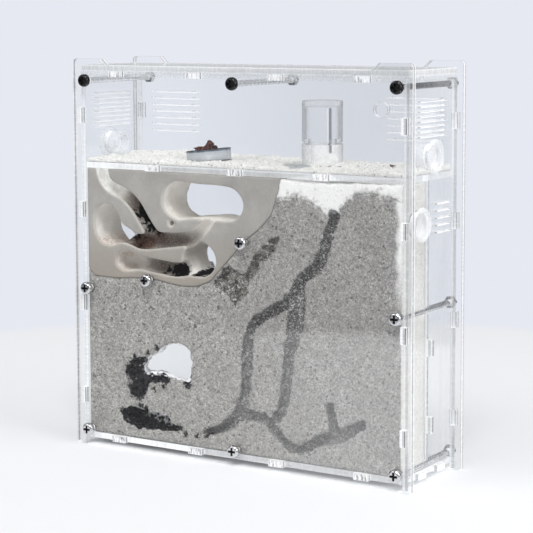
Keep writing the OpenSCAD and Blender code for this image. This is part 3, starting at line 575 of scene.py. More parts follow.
# ---------- moulded insert ----------
# From its upper left corner, right and down: outline [x, z, corner radius], rooms [x, z]
# and tunnels [x, z, width]
OUTLINE = [[0, 0, 0], [119.6, 0, 0], [118.2, 6, 0], [116.4, 11, 6], [113.6, 19, 8],
           [106.6, 26, 10], [99, 32, 10], [91.6, 39.5, 10], [84, 47.4, 10], [77.4, 54.4, 6],
           [70, 57.4, 8], [61, 58.3, 8], [52, 57.4, 8], [44.5, 56.2, 4], [34, 56, 4],
           [18, 57.2, 8], [4, 57, 4], [0, 53, 3]]
ROOM_A = [[4.2, 29], [5.2, 22.5], [9, 18.8], [14.5, 18.6], [19.4, 22], [21.8, 28], [26, 30.6],
          [28.6, 32.4], [24, 35.4], [20.2, 38.4], [15.4, 40.4], [9.4, 39.2], [5.6, 35]]
ROOM_B = [[48.2, 14.4], [50, 8.6], [54.6, 5], [60, 4.6], [72, 5.4], [86, 5.8], [92.6, 7.4],
          [96.8, 11.6], [97.2, 16.6], [93.6, 21.4], [87.6, 23.2], [76, 22.6], [64, 23.4],
          [57.6, 24.4], [52.2, 22.2], [49, 18.6]]
ROOM_C = [[60.4, 43], [63.4, 38], [69, 34.6], [74.6, 35.6], [79.2, 39.4], [80.6, 44.6],
          [78.4, 49.4], [73.6, 52.4], [67.4, 52.4], [62.4, 49.2]]
ROOM_D = [[18.2, 48], [20.4, 43.2], [25.6, 42], [31, 43.6], [34.6, 45.6], [34.6, 49.6],
          [29.6, 52.2], [23.6, 53], [19.6, 51.2]]
TUNNEL_1 = [[9.5, -4, 7.2], [9.7, 0.5, 7.2], [11.6, 6, 6.2], [16, 9.8, 6], [22.6, 12.4, 6.4],
            [28.4, 16, 7], [33, 21, 7], [37.6, 27.6, 6.8], [43, 34, 6.6]]
TUNNEL_2 = [[20, 35.4, 5], [27, 36, 6.2], [34, 37, 8], [42, 36, 8.8], [49, 35.2, 8],
            [57, 34.6, 7.4], [64.6, 33, 7], [70.6, 29.6, 6.6], [75.4, 25, 6.4], [78, 20, 6.4]]
TUNNEL_3 = [[64, 34, 6.6], [67.6, 36.6, 7], [71, 40, 7.4]]
TUNNEL_4 = [[28, 47.6, 6.6], [37, 48.4, 7], [47, 49.4, 7.4], [57, 50, 7.2], [66, 48.6, 7]]
PIT = (53.4, 26.2)
INSERT_BOLTS = [(40.4, 56.2), (98.6, 33)]

# Stains and fallen sand on it: [x, z, radius, strength]
DARK_SPOTS = [[29.6, 16.6, 2.4, 0.9], [31.5, 19, 3.2, 1.3], [33.2, 21.6, 3.8, 1.5],
              [35.8, 25, 3.8, 1.4], [38.4, 28.4, 3.8, 1.2], [41, 31.8, 3.4, 0.7],
              [27, 35.6, 3.4, 0.7], [20.6, 36, 2.4, 0.8], [56, 51.6, 4.2, 1.5],
              [52, 51, 3.2, 1.0], [67, 51.6, 2.8, 1.2], [71, 50.4, 2.8, 1.2],
              [75, 48.6, 2.2, 0.9], [31, 38, 4, 0.5], [47, 51.4, 3.2, 0.6]]
BROWN_SPOTS = [[27, 36.6, 4.2, 0.6], [31.5, 38, 4.6, 0.85], [35.5, 38.6, 3.6, 0.4],
               [42, 37.6, 6, 0.44], [50, 36.6, 6.5, 0.48], [58, 35.6, 6, 0.42],
               [21, 36.5, 3, 0.6], [25, 14.4, 5, 0.3], [29, 17.6, 5, 0.42],
               [33, 22, 6, 0.5], [40, 31, 6, 0.5], [22, 12.6, 4, 0.15],
               [47, 50.4, 6, 0.44], [40, 49.2, 6, 0.4], [33, 48.6, 5, 0.3],
               [55, 50.6, 6, 0.5], [64, 43, 6, 0.25], [66, 32.6, 5, 0.26],
               [53.4, 26.2, 2.2, 0.7]]
WHITE_SPOTS = [[9.5, 0, 6.5, 1.5], [10.5, 5, 5, 1.4], [13, 9, 4, 1.2], [16, 11.4, 3, 0.8]]
RUST_SPOTS = [[8.6, 38, 3, 1.0], [12.6, 40, 3.4, 1.1], [16.6, 39.4, 2.4, 0.7],
              [19.6, 45, 2, 0.8], [22, 52.4, 3, 0.6]]


def on_insert(p):
    """Points of the insert in the part's frame."""
    p = np.array(p, float).copy()
    p[:, 0] += INSERT_X
    p[:, 1] = INSERT_TOP - p[:, 1]
    return p


def corner_rounded(p, n=5):
    """Outline with each corner [x, z, radius] as n steps of an arc."""
    out = []
    for i in range(len(p)):
        a, b, c = [np.array(p[(i + k) % len(p)][:2], float) for k in (-1, 0, 1)]
        r = p[i][2]
        if r <= 0:
            out.append(b)
            continue
        u, v = (a - b) / np.linalg.norm(a - b), (c - b) / np.linalg.norm(c - b)
        half = math.acos(max(-1, min(1, float(u @ v)))) / 2
        m = b + (u + v) / np.linalg.norm(u + v) * r / math.sin(half)
        p0, p1 = b + u * r / math.tan(half) - m, b + v * r / math.tan(half) - m
        s, e = math.atan2(p0[1], p0[0]), math.atan2(p1[1], p1[0])
        d = (e - s + 3 * math.pi) % (2 * math.pi) - math.pi
        out += [m + r * np.array([math.cos(s + d * k / n), math.sin(s + d * k / n)])
                for k in range(n + 1)]
    return np.array(out)


INSERT_LINE = on_insert(corner_rounded(OUTLINE))


def plaster():
    t = Tree("cast_insert")
    dark, stain, deep = t.mark()        # black stain, brown stain, share of the inner surface
    p = t.place()
    fine = t.noise(p, 1500.0, 3.0, 0.6)
    cloud = t.noise(p, 60.0, 4.0, 0.6)
    z = t.split(p)[2]
    face = t.mix(t.step(cloud, 0.3, 0.7), srgb(161, 158, 154), srgb(176, 173, 168))
    face = t.mix(t.step(z, 0.125, 0.09), face, srgb(161, 154, 145))
    inner = t.mix(t.step(cloud, 0.3, 0.7), srgb(226, 221, 214), srgb(248, 245, 240))
    c = t.mix(deep, face, inner)
    spots = t.noise(p, 420.0, 4.0, 0.7)
    grit = t.noise(p, 1100.0, 3.0, 0.7)
    worn = t.mix(spots, srgb(52, 43, 36), srgb(128, 115, 103))
    c = t.mix(t.times(t.step(stain, 0.05, 0.6), t.step(grit, 0.25, 0.6, 0.66, 0.94)), c, worn)
    brown = t.mix(spots, srgb(34, 16, 11), srgb(96, 60, 42))
    c = t.mix(t.times(t.step(stain, 0.5, 0.85), t.step(grit, 0.2, 0.6, 0.55, 1.0)), c, brown)
    black = t.mix(grit, srgb(2, 2, 3), srgb(26, 22, 20))
    ragged = t.plus(dark, t.scaled(spots, 2.0, -1.0))
    blackened = t.step(ragged, 0.4, 0.7)
    c = t.mix(blackened, c, black)
    c = t.mix(t.times(t.step(fine, 0.35, 0.7, 0.0, 0.2), t.step(ragged, 0.6, 0.2)), c,
              srgb(120, 114, 108))
    white, lip_highlight, rust = t.mark("sand_highlight_rust")
    # Rims of the cavities painted lighter: a painted highlight.
    c = t.mix(t.times(lip_highlight, 0.35), c, srgb(224, 219, 211))
    c = t.mix(t.times(rust, t.step(grit, 0.42, 0.58, 0.0, 0.6)), c, srgb(158, 108, 72))
    grains = t.cells(p, 1700.0)
    c = t.mix(t.times(white, t.step(spots, 0.25, 0.5)), c,
              t.mix(t.split(grains)[0], srgb(225, 224, 220), srgb(252, 252, 250)))
    bump = t.bump(t.plus(t.times(fine, 0.3), t.times(spots, deep)), 0.5, 0.0003)
    body = t.principled(Base_Color=c, Roughness=t.step(fine, 0.2, 0.8, 0.72, 0.92),
                        Specular_IOR_Level=0.25, Normal=bump)
    t.surface(t.blend(blackened, body, t.matt(black, bump)))
    return t.mat


def spots_of(rows, u, v, together=np.maximum):
    """Soft patches [u, v, radius, strength] at the points, the strongest or their sum."""
    out = np.zeros(len(u))
    for a, b, r, s in rows:
        out = together(out, s * np.exp(-((u - a) ** 2 + (v - b) ** 2) / (r * r)))
    return np.minimum(out, 1.5)


def make_insert():
    g = Block((-INNER, -24.82, 88.9), (25.8, -1.7, INSERT_TOP), 0.45)
    w = g.depth
    outline = g.inside(INSERT_LINE)
    rough = lumps(g.n, 6, 3) * 0.35 + lumps(g.n, 2.6, 4) * 0.16
    wave = lumps(g.n, 22, 5) * 0.3
    void = None
    for P in (ROOM_A, ROOM_B, ROOM_C):
        d = flat(g.inside(on_insert(loop(P)))) + wave
        void = d if void is None else join(void, d, 1.2)
    void = join(void, both(flat(g.inside(on_insert(loop(ROOM_D)))), w - 13.0, 4.0), 1.2)
    for P in (TUNNEL_1, TUNNEL_2, TUNNEL_3, TUNNEL_4):
        c, r = along(on_insert(smooth(P)), g.X, g.Z)
        void = join(void, groove(flat(c), flat(r), w, 8.0) + 0.6 * wave, 2.2)
    x, z = on_insert([PIT])[0]
    pit = np.sqrt(flat((g.X - x) ** 2 + (g.Z - z) ** 2) + (w - 0.2) ** 2) - 1.9
    void = join(void, pit, 0.5) + rough * sstep(w, 0.8, 3.0)
    holes = np.minimum.reduce([np.hypot(g.X - x, g.Z - z) - 1.8
                               for x, z in on_insert(INSERT_BOLTS)])
    sdf = both(both(-void, 0.18 - w, 1.0), flat(outline), 0.5)
    sdf = np.maximum(np.maximum(sdf, g.y + 1.7), -flat(holes))
    pts, tris, quads = g.skin(sdf, 0.02)
    o = make_mesh("insert_block", pts, tris, quads, plaster())
    u, v, depth = pts[:, 0] - INSERT_X, INSERT_TOP - pts[:, 2], pts[:, 1] - IN_FRONT
    edge = g.sample(outline, pts)
    deep = sstep(depth, 0.35, 2.2) * (edge < -1.0) * (depth < BACK_FACE)
    set_mark(o, spots_of(DARK_SPOTS, u, v) * deep, spots_of(BROWN_SPOTS, u, v, np.add) * deep,
             deep)
    # Rims of the cavities, which the plaster paints lighter as a painted highlight
    lip_highlight = sstep(depth, 0.2, 0.45) * sstep(depth, 1.9, 0.9) * (edge < -0.7)
    set_mark(o, spots_of(WHITE_SPOTS, u, v) * sstep(depth, 0.2, 1.2), lip_highlight,
             spots_of(RUST_SPOTS, u, v) * sstep(depth, 0.2, 0.9), "sand_highlight_rust")
    stand_for(o, "nest_insert", "case")


# ---------- sand ----------
def in_sand(p):
    """Points of the sand in the part's frame."""
    p = np.array(p, float).copy()
    p[:, 0] -= WALL
    p[:, 1] += FLOOR
    return p


# From the inner lower left corner, right and up: [x, z], and dug runs [x, z, width]
SAND_TOP = [[187.8, 133], [183, 134.4], [177, 135.8], [169, 136.4], [162, 135], [157.5, 132],
            [153.5, 127], [149, 123.8], [145, 124.6], [140, 128.8], [134, 131.2], [126, 131.8],
            [119, 132]]
PALE_TOP = [[187.8, 140.4], [176, 140.4], [164, 140.3], [154, 139.6], [140, 139.2],
            [131, 139.2], [124, 140], [116, 140.4]]
DUG = [[[149.6, 124, 6.4], [148.4, 119.6, 6], [145.6, 112, 6], [143.4, 104, 7], [138.6, 97, 6.6],
        [132, 91.6, 6], [129, 86, 7], [126.6, 79, 8]],
       [[124.6, 81, 6], [117.6, 76, 6.4], [109.4, 71, 5.6], [103, 66.6, 5.6], [100, 58, 6.2],
        [99.2, 44, 6.4], [98, 32, 6], [95.4, 22.6, 6], [90, 16, 5.4], [83, 11, 4.4],
        [75, 8.4, 3.4]],
       [[129, 84, 9], [128.6, 76, 10], [127, 66, 9], [124, 53, 6.4], [122.6, 39, 6],
        [121.4, 29, 6], [117, 21.4, 5.4]],
       [[93, 17.4, 5], [99, 19.8, 5.4], [106, 20.2, 5.2], [111, 18.6, 5.4], [116.4, 13.6, 5.6],
        [122, 8.6, 5.2], [129.4, 6.4, 5], [137, 9.4, 5.4], [144, 13.4, 6], [152, 15.6, 6.4],
        [159, 19.6, 6], [165.6, 23.4, 5.4]],
       [[150, 15.6, 6], [149, 22, 5.4], [147.4, 30.4, 4.6]]]
SAND_ROOM = [[36.6, 39.4], [39.9, 44.5], [46.4, 47.8], [50.2, 51.2], [57, 53.4], [62.7, 51.4],
             [66, 47.6], [65.6, 40], [64.2, 34], [59.6, 33.6], [53.6, 35], [47.5, 36],
             [41.1, 35.6], [37.4, 36.4]]
POCKETS = [[[24.3, 34.1], [27, 38.6], [32.8, 38.4], [38.2, 36.6], [40, 32.6], [37.5, 27.2],
            [34.5, 22.4], [28, 22.4], [26.8, 26.6]],
           [[27, 40], [31.6, 42.5], [36.7, 43], [37, 40.4], [31, 38.8]],
           [[40, 35], [44, 36.6], [48, 37], [51, 35], [51, 32.2], [46, 31.8], [40, 31]],
           [[60.7, 37.4], [63.9, 37.4], [65, 32], [62.8, 30.8]]]
LOW_ROOM = [[20.6, 12.7], [25.2, 16], [36.4, 15.6], [46, 14.4], [53.6, 10.8], [58.6, 8],
            [52.3, 6.2], [39.5, 5.4], [29.1, 5.4], [23.3, 8.2]]
SLIPS = [[[79.7, 85.4], [85.2, 94], [93, 95], [97, 91], [101, 96], [105.5, 103.5], [109, 98.8],
          [103.1, 89.3], [99.5, 81], [92.3, 75.3], [85.1, 80.8]],
         [[104, 101], [106.5, 104.5], [112.6, 109], [118.4, 112], [117.2, 105.6], [111.4, 100],
          [108, 97]]]
# Painted glints at the back of the low room: [x, z, radius, strength]
GLINTS = [[40, 13.4, 2.2, 1.0], [44.4, 12.4, 2.2, 1.2], [49, 11.4, 2.0, 1.1], [53, 9.8, 1.6, 0.9]]
# Dark crumbs on the face, in the part's frame: x, z, radius
CRUMBS = [(-68.5, 44, 3.4), (-66, 35, 4.6), (-62, 29, 4.2), (-60.5, 24, 3.2), (-57, 37, 3.6),
          (-64, 50, 2.6), (-56, 52.6, 3.0), (-50, 55.5, 2.6), (-52, 34, 3.0), (-46, 36, 3.2),
          (-30, 37, 2.8), (-29, 43, 1.8), (-54, 20.5, 3.4), (-57, 23, 2.4), (-36, 15, 3.4),
          (-32, 12.6, 3.0), (-25, 12, 2.8), (-19, 12.6, 2.2), (-70, 17, 3.2)]
HOLE_SLANT = np.array([0.66, 0, 0.2])   # the open hole leans this much for each unit of depth


def seam_height(t, x):
    """Height of the wavy line between the grey sand and the white sand."""
    line = t.add("ShaderNodeFloatCurve")
    t.put(line.inputs["Value"], t.scaled(x, 1 / 0.2, 0.5))
    curve = line.mapping.curves[0]
    pts = sorted((q[0], q[1]) for q in in_sand(SAND_TOP))
    pts = [(-100, 138.6)] + pts + [(100, 139)]
    while len(curve.points) < len(pts):
        curve.points.new(0.5, 0.5)
    for q, (a, b) in zip(curve.points, pts):
        q.location = (a / 200 + 0.5, (b - 110) / 60)
    line.mapping.update()
    return t.scaled(line.outputs[0], 0.06, 0.110)


def crumb_mask(t, x, y, z, ragged):
    """Ragged dark crumbs on and near the front face."""
    crumbs = None
    for cx, cz, r in CRUMBS:
        d = t.away(t.minus(x, cx / 1000), t.minus(z, cz / 1000))
        near = t.scaled(d, -1000.0 / r, 1.0)
        crumbs = near if crumbs is None else t.most(crumbs, near)
    crumbs = t.step(t.plus(crumbs, t.scaled(ragged, 3.4, -2.0)), 0.1, 0.35)
    return t.times(crumbs, t.step(y, -0.006, -0.012))


def sand_material():
    t = Tree("nest_sand_grains")
    dug, dark, slip = t.mark()
    p = t.place()
    x, y, z = t.split(p)
    ragged = t.noise(p, 520.0, 4.0, 0.75)
    jag = t.scaled(ragged, 2.4, -1.2)
    dug = t.step(t.plus(dug, jag), 0.3, 0.62)
    slip = t.step(t.scaled(jag, 0.75, slip), 0.2, 0.45)
    dark = t.step(t.plus(dark, jag), 0.3, 0.5)
    grain = t.split(t.cells(p, 1850.0))
    coarse = t.split(t.cells(p, 900.0))
    mottle = t.noise(p, 260.0, 4.0, 0.65)
    cloud = t.noise(p, 45.0, 3.0, 0.5)

    # Grey grains
    v = t.plus(t.times(grain[0], 0.72), t.times(coarse[1], 0.28))
    v = t.plus(v, t.scaled(mottle, 0.6, -0.3))
    c = t.ramp(v, [(0.0, srgb(98, 96, 93)), (0.25, srgb(142, 140, 137)),
                   (0.65, srgb(168, 166, 162)), (1.0, srgb(208, 206, 202))])
    c = t.mix(t.step(cloud, 0.35, 0.65, 0.0, 0.25), c, srgb(140, 138, 133))
    speck = t.times(t.step(coarse[0], 0.93, 0.97), t.step(mottle, 0.4, 0.55))
    c = t.mix(t.times(speck, 0.7), c, srgb(66, 63, 60))

    # White sand above the seam, and in a strip beside the right wall
    over = t.plus(t.minus(z, seam_height(t, x)), t.scaled(mottle, 0.014, -0.0075))
    side = t.minus(x, t.scaled(t.noise(p, 120.0, 3.0, 0.6), 0.006, 0.0855))
    side = t.times(t.step(side, 0.0, 0.004), t.step(z, 0.075, 0.115))
    wall = t.step(x, 0.0925, 0.0937)
    white = t.most(t.most(t.step(over, -0.003, 0.0025), side), wall)
    c = t.mix(white, c, t.ramp(v, [(0.0, srgb(234, 233, 229)), (0.4, srgb(250, 249, 247)),
                                   (1.0, srgb(254, 254, 253))]))
    c = t.mix(wall, c, t.ramp(v, [(0.0, srgb(198, 197, 192)), (1.0, srgb(238, 237, 233))]))

    # Dug runs, darker as painted shade and lighter low down as a painted reflection; slips; white
    # places of painted light, and black places of painted shade and crumbs
    shade = t.plus(v, t.scaled(ragged, 1.2, -0.6))
    # Dug runs painted darker: painted shade inside them.
    tunnel_shade = t.ramp(shade, [(0.0, srgb(52, 51, 50)), (0.45, srgb(104, 103, 100)),
                            (0.7, srgb(142, 141, 138)), (0.92, srgb(222, 221, 218))])
    # Lighter low down: a painted reflection.
    tunnel_shade = t.mix(t.times(t.step(z, 0.1, 0.04), 0.45), tunnel_shade, srgb(140, 139, 137))
    c = t.mix(t.times(dug, t.scaled(white, -0.7, 1.0)), c, tunnel_shade)
    c = t.mix(t.times(slip, t.step(mottle, 0.35, 0.6, 0.95, 0.5)), c,
              t.ramp(shade, [(0.1, srgb(44, 40, 36)), (0.5, srgb(88, 83, 77)),
                             (0.75, srgb(126, 121, 114)), (0.97, srgb(220, 217, 211))]))
    dark = t.most(dark, crumb_mask(t, x, y, z, ragged))
    # Painted light: the walls of the open hole white as if lit through it, and glints in the low
    # room
    lit = t.step(t.plus(t.mark("lit")[0], jag), 0.3, 0.6)
    c = t.mix(lit, c, srgb(250, 250, 252))
    dark = t.times(dark, t.minus(1.0, lit))
    dark = t.times(dark, t.step(ragged, 0.4, 0.55, 1.0, 0.92))
    # Black: painted shade in the pockets and the low room, and the dark crumbs
    black = t.ramp(grain[2], [(0.0, srgb(2, 2, 5)), (1.0, srgb(28, 29, 38))])
    bump = t.bump(t.plus(t.times(grain[0], 0.6), mottle), 0.45, 0.0005)
    body = t.principled(Base_Color=c, Roughness=t.step(mottle, 0.3, 0.7, 0.82, 0.96),
                        Specular_IOR_Level=0.2, Normal=bump)
    t.surface(t.blend(dark, body, t.matt(black, bump)))
    return t.mat


def slanted(g, field, kx, kz):
    """A field over x and z, moved sideways and down with depth."""
    out = np.empty(g.n, np.float32)
    for j in range(g.n[1]):
        d = max(float(g.depth[0, j, 0]), 0.0) / g.h
        f = field
        for ax, move in ((0, kx * d), (1, kz * d)):
            n = f.shape[ax]
            pos = np.clip(np.arange(n) + move, 0, n - 1.001)
            i = pos.astype(int)
            r = (pos - i).reshape((-1, 1) if ax == 0 else (1, -1))
            f = np.take(f, i, ax) * (1 - r) + np.take(f, i + 1, ax) * r
        out[:, j, :] = f
    return out


def sand_void(g, rough):
    """The dug runs as a solid field, and as distance to their edge in the face."""
    void, dug = None, None
    for P in DUG:
        c, r = along(in_sand(smooth(P)), g.X, g.Z)
        d = groove(flat(c), flat(r), g.depth, 6.0)
        void = d if void is None else join(void, d, 1.5)
        dug = (c - r) if dug is None else np.minimum(dug, c - r)
    return void + rough, dug


def plug_room(g):
    return np.maximum(np.hypot(g.y - PLUG_Y, g.z - PLUG_Z) - PLUG_ROOM, PLUG_END - g.x)


def dug_mark(g, dug, pts, ends):
    return sstep(g.sample(dug, pts), 2.6, -1.4) * ends


def make_nest_sand():
    g = Block((-INNER, -24.82, 6.5), (INNER, SAND_BACK, 146.4), 0.6)
    w = g.depth

    def area(outline):
        return g.inside(in_sand(loop(outline, 2)))
    rough = lumps(g.n, 5, 11) * 1.0 + lumps(g.n, 2.2, 12) * 0.65
    void, dug = sand_void(g, rough)
    room, low = area(SAND_ROOM), area(LOW_ROOM)
    pocket = np.minimum.reduce([area(P) for P in POCKETS])
    void = join(void, slanted(g, room, HOLE_SLANT[0], HOLE_SLANT[2]) + 1.2 * rough, 1.0)
    void = np.minimum(void, both(flat(pocket) + 1.6 * rough, w - 4.5, 1.5))
    void = join(void, both(flat(low) + 1.2 * rough, w - 12.0, 2.0), 1.0)
    slip = np.full(g.X.shape, 1e9)
    for P in SLIPS:
        d = area(P)
        slip = np.minimum(slip, d)
        void = np.minimum(void, both(flat(d) + 1.6 * rough + 0.4, w - 3.2 + rough, 1.5))
    holes = np.minimum.reduce([np.hypot(g.X - x, g.Z - z) - SHAFT_ROOM
                               for x, z in NEST_BOLTS + BOTTOM_BOLTS])
    block = g.inside(np.array([[-INNER, 6.5], [INNER, 6.5], [INNER, 139.4]]
                              + [list(q) for q in in_sand(smooth(SAND_TOP, 3))]
                              + [[4.8, 126.3], [-INNER, 111.1]]))
    solid = np.maximum(block, -g.inside(INSERT_LINE) + 0.12)
    sdf = np.maximum(np.maximum(flat(solid), g.y - SAND_BACK), 0.22 - w)
    sdf = both(sdf, -void, 0.5)
    sdf = np.maximum(np.maximum(sdf, -flat(holes)), -plug_room(g))
    pts, tris, quads = g.skin(sdf, 0.05)
    o = make_mesh("packed_sand", pts, tris, quads, SAND)
    depth = pts[:, 1] - IN_FRONT
    ends = (depth < BACK_FACE) * sstep(depth, 0.3, 1.4)
    moved = pts + np.clip(depth, 0, 30)[:, None] * HOLE_SLANT
    # Black in the pockets and the low room: painted shade
    dark = np.maximum(sstep(g.sample(pocket, pts), 1.8, -0.8) * (depth < 8),
                      sstep(g.sample(low, pts), 2.2, -0.4) * ends)
    # Painted light: glints at the back of the low room, and the walls of the open hole white as
    # if lit through it
    glint = in_sand(np.array(GLINTS)[:, :2])
    glint = spots_of([[*q, *row[2:]] for q, row in zip(glint, GLINTS)], moved[:, 0], moved[:, 2])
    none = np.zeros(len(pts))
    lit = np.maximum(sstep(g.sample(room, moved), 2.6, -0.5) * ends, glint * (depth < 14))
    set_mark(o, lit, none, none, "lit")
    set_mark(o, dug_mark(g, dug, pts, ends), dark, sstep(g.sample(slip, pts), 1.8, -1.4) * ends)
    stand_for(o, "nest_sand", "case")


def make_pale_sand():
    g = Block((21, -24.82, 128), (INNER, SAND_BACK, 146.6), 0.6)
    rough = lumps(g.n, 5, 21) * 0.5 + lumps(g.n, 2.2, 22) * 0.35
    void, dug = sand_void(g, rough)
    low = in_sand(smooth(SAND_TOP, 3))[::-1] - [0, 0.8]     # a little in front of the grey sand
    top = in_sand(smooth(PALE_TOP, 3))
    block = g.inside(np.vstack([low, top, [[4.8, 146.3], [4.8, 126.3]]]))
    solid = np.maximum(block, -g.inside(INSERT_LINE) + 0.12)
    grainy = lumps(g.n, 4, 23) * 0.5 + lumps(g.n, 1.6, 24) * 0.35
    sdf = flat(solid) + grainy * sstep(g.z, 142.5, 144.0)
    sdf = np.maximum(sdf, np.maximum(g.x - INNER, g.z - 147.2))
    sdf = np.maximum(np.maximum(sdf, g.y - SAND_BACK), 0.16 - g.depth)
    sdf = np.maximum(both(sdf, -void, 0.5), -plug_room(g))
    pts, tris, quads = g.skin(sdf, 0.02)
    o = make_mesh("pale_sand", pts, tris, quads, SAND)
    depth = pts[:, 1] - IN_FRONT
    ends = sstep(depth, 0.3, 1.4) * (depth < BACK_FACE)
    set_mark(o, dug_mark(g, dug, pts, ends), 0 * ends, 0 * ends)
    stand_for(o, "pale_nest_sand", "case")


# ---------- white sand in the arena ----------
# Height of its top along x, as a share of 2.4 mm
HEIGHTS = [(-94, 0.9), (-82, 0.7), (-70, 1.1), (-52, 1.3), (-38, 1.15), (-16, 1.1), (-4, 1.2),
           (6, 0.95), (16, 0.7), (36, 0.75), (56, 0.85), (66, 1), (78, 1.15), (88, 1.2),
           (94, 1.05)]


def white_sand_material():
    t = Tree("arena_sand_grains")
    p = t.place()
    grain = t.split(t.cells(p, 1500.0))
    near = t.cells(p, 1500.0, "Distance")
    mottle = t.noise(p, 300.0, 3.0, 0.6)
    v = t.plus(t.times(grain[0], 0.7), t.times(mottle, 0.3))
    c = t.ramp(v, [(0.0, srgb(206, 204, 198)), (0.4, srgb(232, 231, 227)),
                   (1.0, srgb(248, 248, 246))])
    c = t.mix(t.times(t.step(grain[1], 0.975, 0.985), 0.7), c, srgb(122, 112, 100))
    skin = t.principled(Base_Color=c, Roughness=t.step(mottle, 0.3, 0.7, 0.7, 0.9),
                        Specular_IOR_Level=0.4,
                        Normal=t.bump(t.minus(1.0, near), 0.6, 0.0004))
    return t.skin(t.shadow(1.0, 0.6), (1, 1, 1), skin)


def make_arena_sand():
    g = Block((-INNER, -24.8, ARENA), (INNER, 24.8, 154.6), 0.42)
    xs, heights = [a for a, _ in HEIGHTS], [b for _, b in HEIGHTS]
    h = 2.4 * np.interp(g.X[:, 0], xs, heights)[:, None, None]
    feeder = np.hypot(g.x - FEEDER_X, g.y)
    h = h + 0.9 * sstep(g.y, 4, 22) * sstep(g.x, -18, -50)
    h = h + 1.6 * sstep(g.x + 0.3 * g.y, 26, 38) * sstep(feeder, 27, 17) * (h < 3)
    grains = lumps(g.n, 3.0, 31) * 0.5 + lumps(g.n, 1.7, 32) * 0.46
    over = (g.n[0], g.n[1], 1)
    roll = lumps(over, 30, 33) * 0.4 + lumps(over, 11, 34) * 0.3
    sdf = (g.z - ARENA - h - roll) * 0.9 + grains
    sdf = np.maximum(sdf, ARENA + 0.02 - g.z)
    for a, b in ((-INNER - g.x, g.x - INNER), (-24.8 - g.y, g.y - 24.8)):
        sdf = np.maximum(sdf, np.maximum(a, b))
    entrance = np.hypot(g.x - ENTRANCE_X, g.y - ENTRANCE_Y) - ENTRANCE_ROOM
    feeder = np.minimum(np.maximum(feeder - FEEDER_ROOM, g.z - FEEDER_TOP), feeder - FEEDER_HOLE)
    tilt = math.radians(DISH_TILT)
    u = (g.x - DISH_X) * math.cos(tilt) + (g.z - DISH_Z) * math.sin(tilt)
    dish = np.hypot(u, g.y - DISH_Y) - DISH_ROOM
    for d in (entrance, feeder, dish):
        sdf = np.maximum(sdf, -(d + 0 * sdf))
    pts, tris, quads = g.skin(sdf, 0.01)
    o = make_mesh("white_sand_bed", pts, tris, quads, white_sand_material())
    stand_for(o, "arena_sand", "case")


# ---------- food ----------
def food_material():
    t = Tree("dried_food")
    p = t.place()
    n = t.noise(p, 420.0, 5.0, 0.65)
    m = t.noise(p, 1500.0, 3.0, 0.6)
    c = t.ramp(n, [(0.3, srgb(14, 5, 5)), (0.48, srgb(52, 19, 14)), (0.6, srgb(96, 42, 30)),
                   (0.72, srgb(188, 130, 106))])
    t.surface(t.principled(Base_Color=c, Roughness=t.step(m, 0.3, 0.7, 0.12, 0.4),
                           Specular_IOR_Level=0.7,
                           Normal=t.bump(t.plus(n, m), 0.7, 0.0008)))
    return t.mat


def make_food(node, name, body, voxel, push, cell, seed):
    """The node's mesh, evened out and pushed in and out by a random field."""
    o = add_object(name, NODES[node].data.copy())
    o.data.materials.clear()
    m = o.modifiers.new("even", "REMESH")
    m.mode, m.voxel_size = "VOXEL", voxel
    dg = bpy.context.evaluated_depsgraph_get()
    me = bpy.data.meshes.new_from_object(o.evaluated_get(dg))
    o.modifiers.clear()
    o.data = me
    n = len(me.vertices)
    co = np.zeros(n * 3)
    no = np.zeros(n * 3)
    me.vertices.foreach_get("co", co)
    me.vertex_normals.foreach_get("vector", no)
    co, no = co.reshape(-1, 3), no.reshape(-1, 3)
    rng = np.random.default_rng(seed)
    q = (co - co.min(0)) / cell
    f = np.zeros(n)
    for k, amp in ((1.0, 1.0), (2.3, 0.5), (5.1, 0.25)):
        g = rng.random([int(v) + 3 for v in (q.max(0) * k)])
        i = (q * k).astype(int)
        t = q * k - i
        t = t * t * (3 - 2 * t)
        s = np.zeros(n)
        for c in range(8):
            b = [(c >> j) & 1 for j in range(3)]
            wgt = np.prod([t[:, j] if b[j] else 1 - t[:, j] for j in range(3)], axis=0)
            s += wgt * g[i[:, 0] + b[0], i[:, 1] + b[1], i[:, 2] + b[2]]
        f += amp * (s - 1.0)
    co += no * (f * push)[:, None]
    me.vertices.foreach_set("co", co.ravel())
    me.update()
    me.shade_smooth()
    me.materials.append(FOOD)
    stand_for(o, node, body)


# ---------- metal ----------
def steel_material(name, black_heads=False):
    t = Tree(name)
    p = t.place()
    x, y, _ = t.split(p)
    wear = t.noise(p, 700.0, 4.0, 0.6)
    if black_heads:                     # behind the head bright, and at the right painted darker as a painted dark reflection
        shaft = t.step(y, -0.0279, -0.0276)
        c = t.mix(shaft, t.mix(wear, srgb(10, 10, 12), srgb(40, 40, 44)), srgb(222, 223, 226))
        m = t.step(y, -0.0279, -0.0276, 0.35, 0.55)
        # The rod at the right painted darker: a painted dark reflection.
        c = t.mix(t.times(shaft, t.step(x, 0.05, 0.06)), c, srgb(96, 97, 100))
    else:
        c = t.mix(wear, srgb(196, 196, 198), srgb(232, 232, 234))
        m = 1.0
    turn = t.noise(t.place((1.0, 14.0, 1.0)), 260.0, 2.0)
    t.surface(t.principled(Base_Color=c, Metallic=m, Roughness=t.step(wear, 0.3, 0.7, 0.16, 0.32),
                           Normal=t.bump(turn, 0.15, 0.0002)))
    return t.mat


CROSS_LONG, CROSS_WIDE = 2.15, 0.65     # half the length and width of a recess's arm


def recess_shade_material():
    # Painted shade: the cross recesses of the steel heads, painted near black.
    t = Tree("recess")
    n = t.noise(t.place(), 1200.0, 3.0)
    t.surface(t.principled(Base_Color=t.mix(n, srgb(6, 6, 7), srgb(26, 26, 28)), Roughness=0.55))
    return t.mat


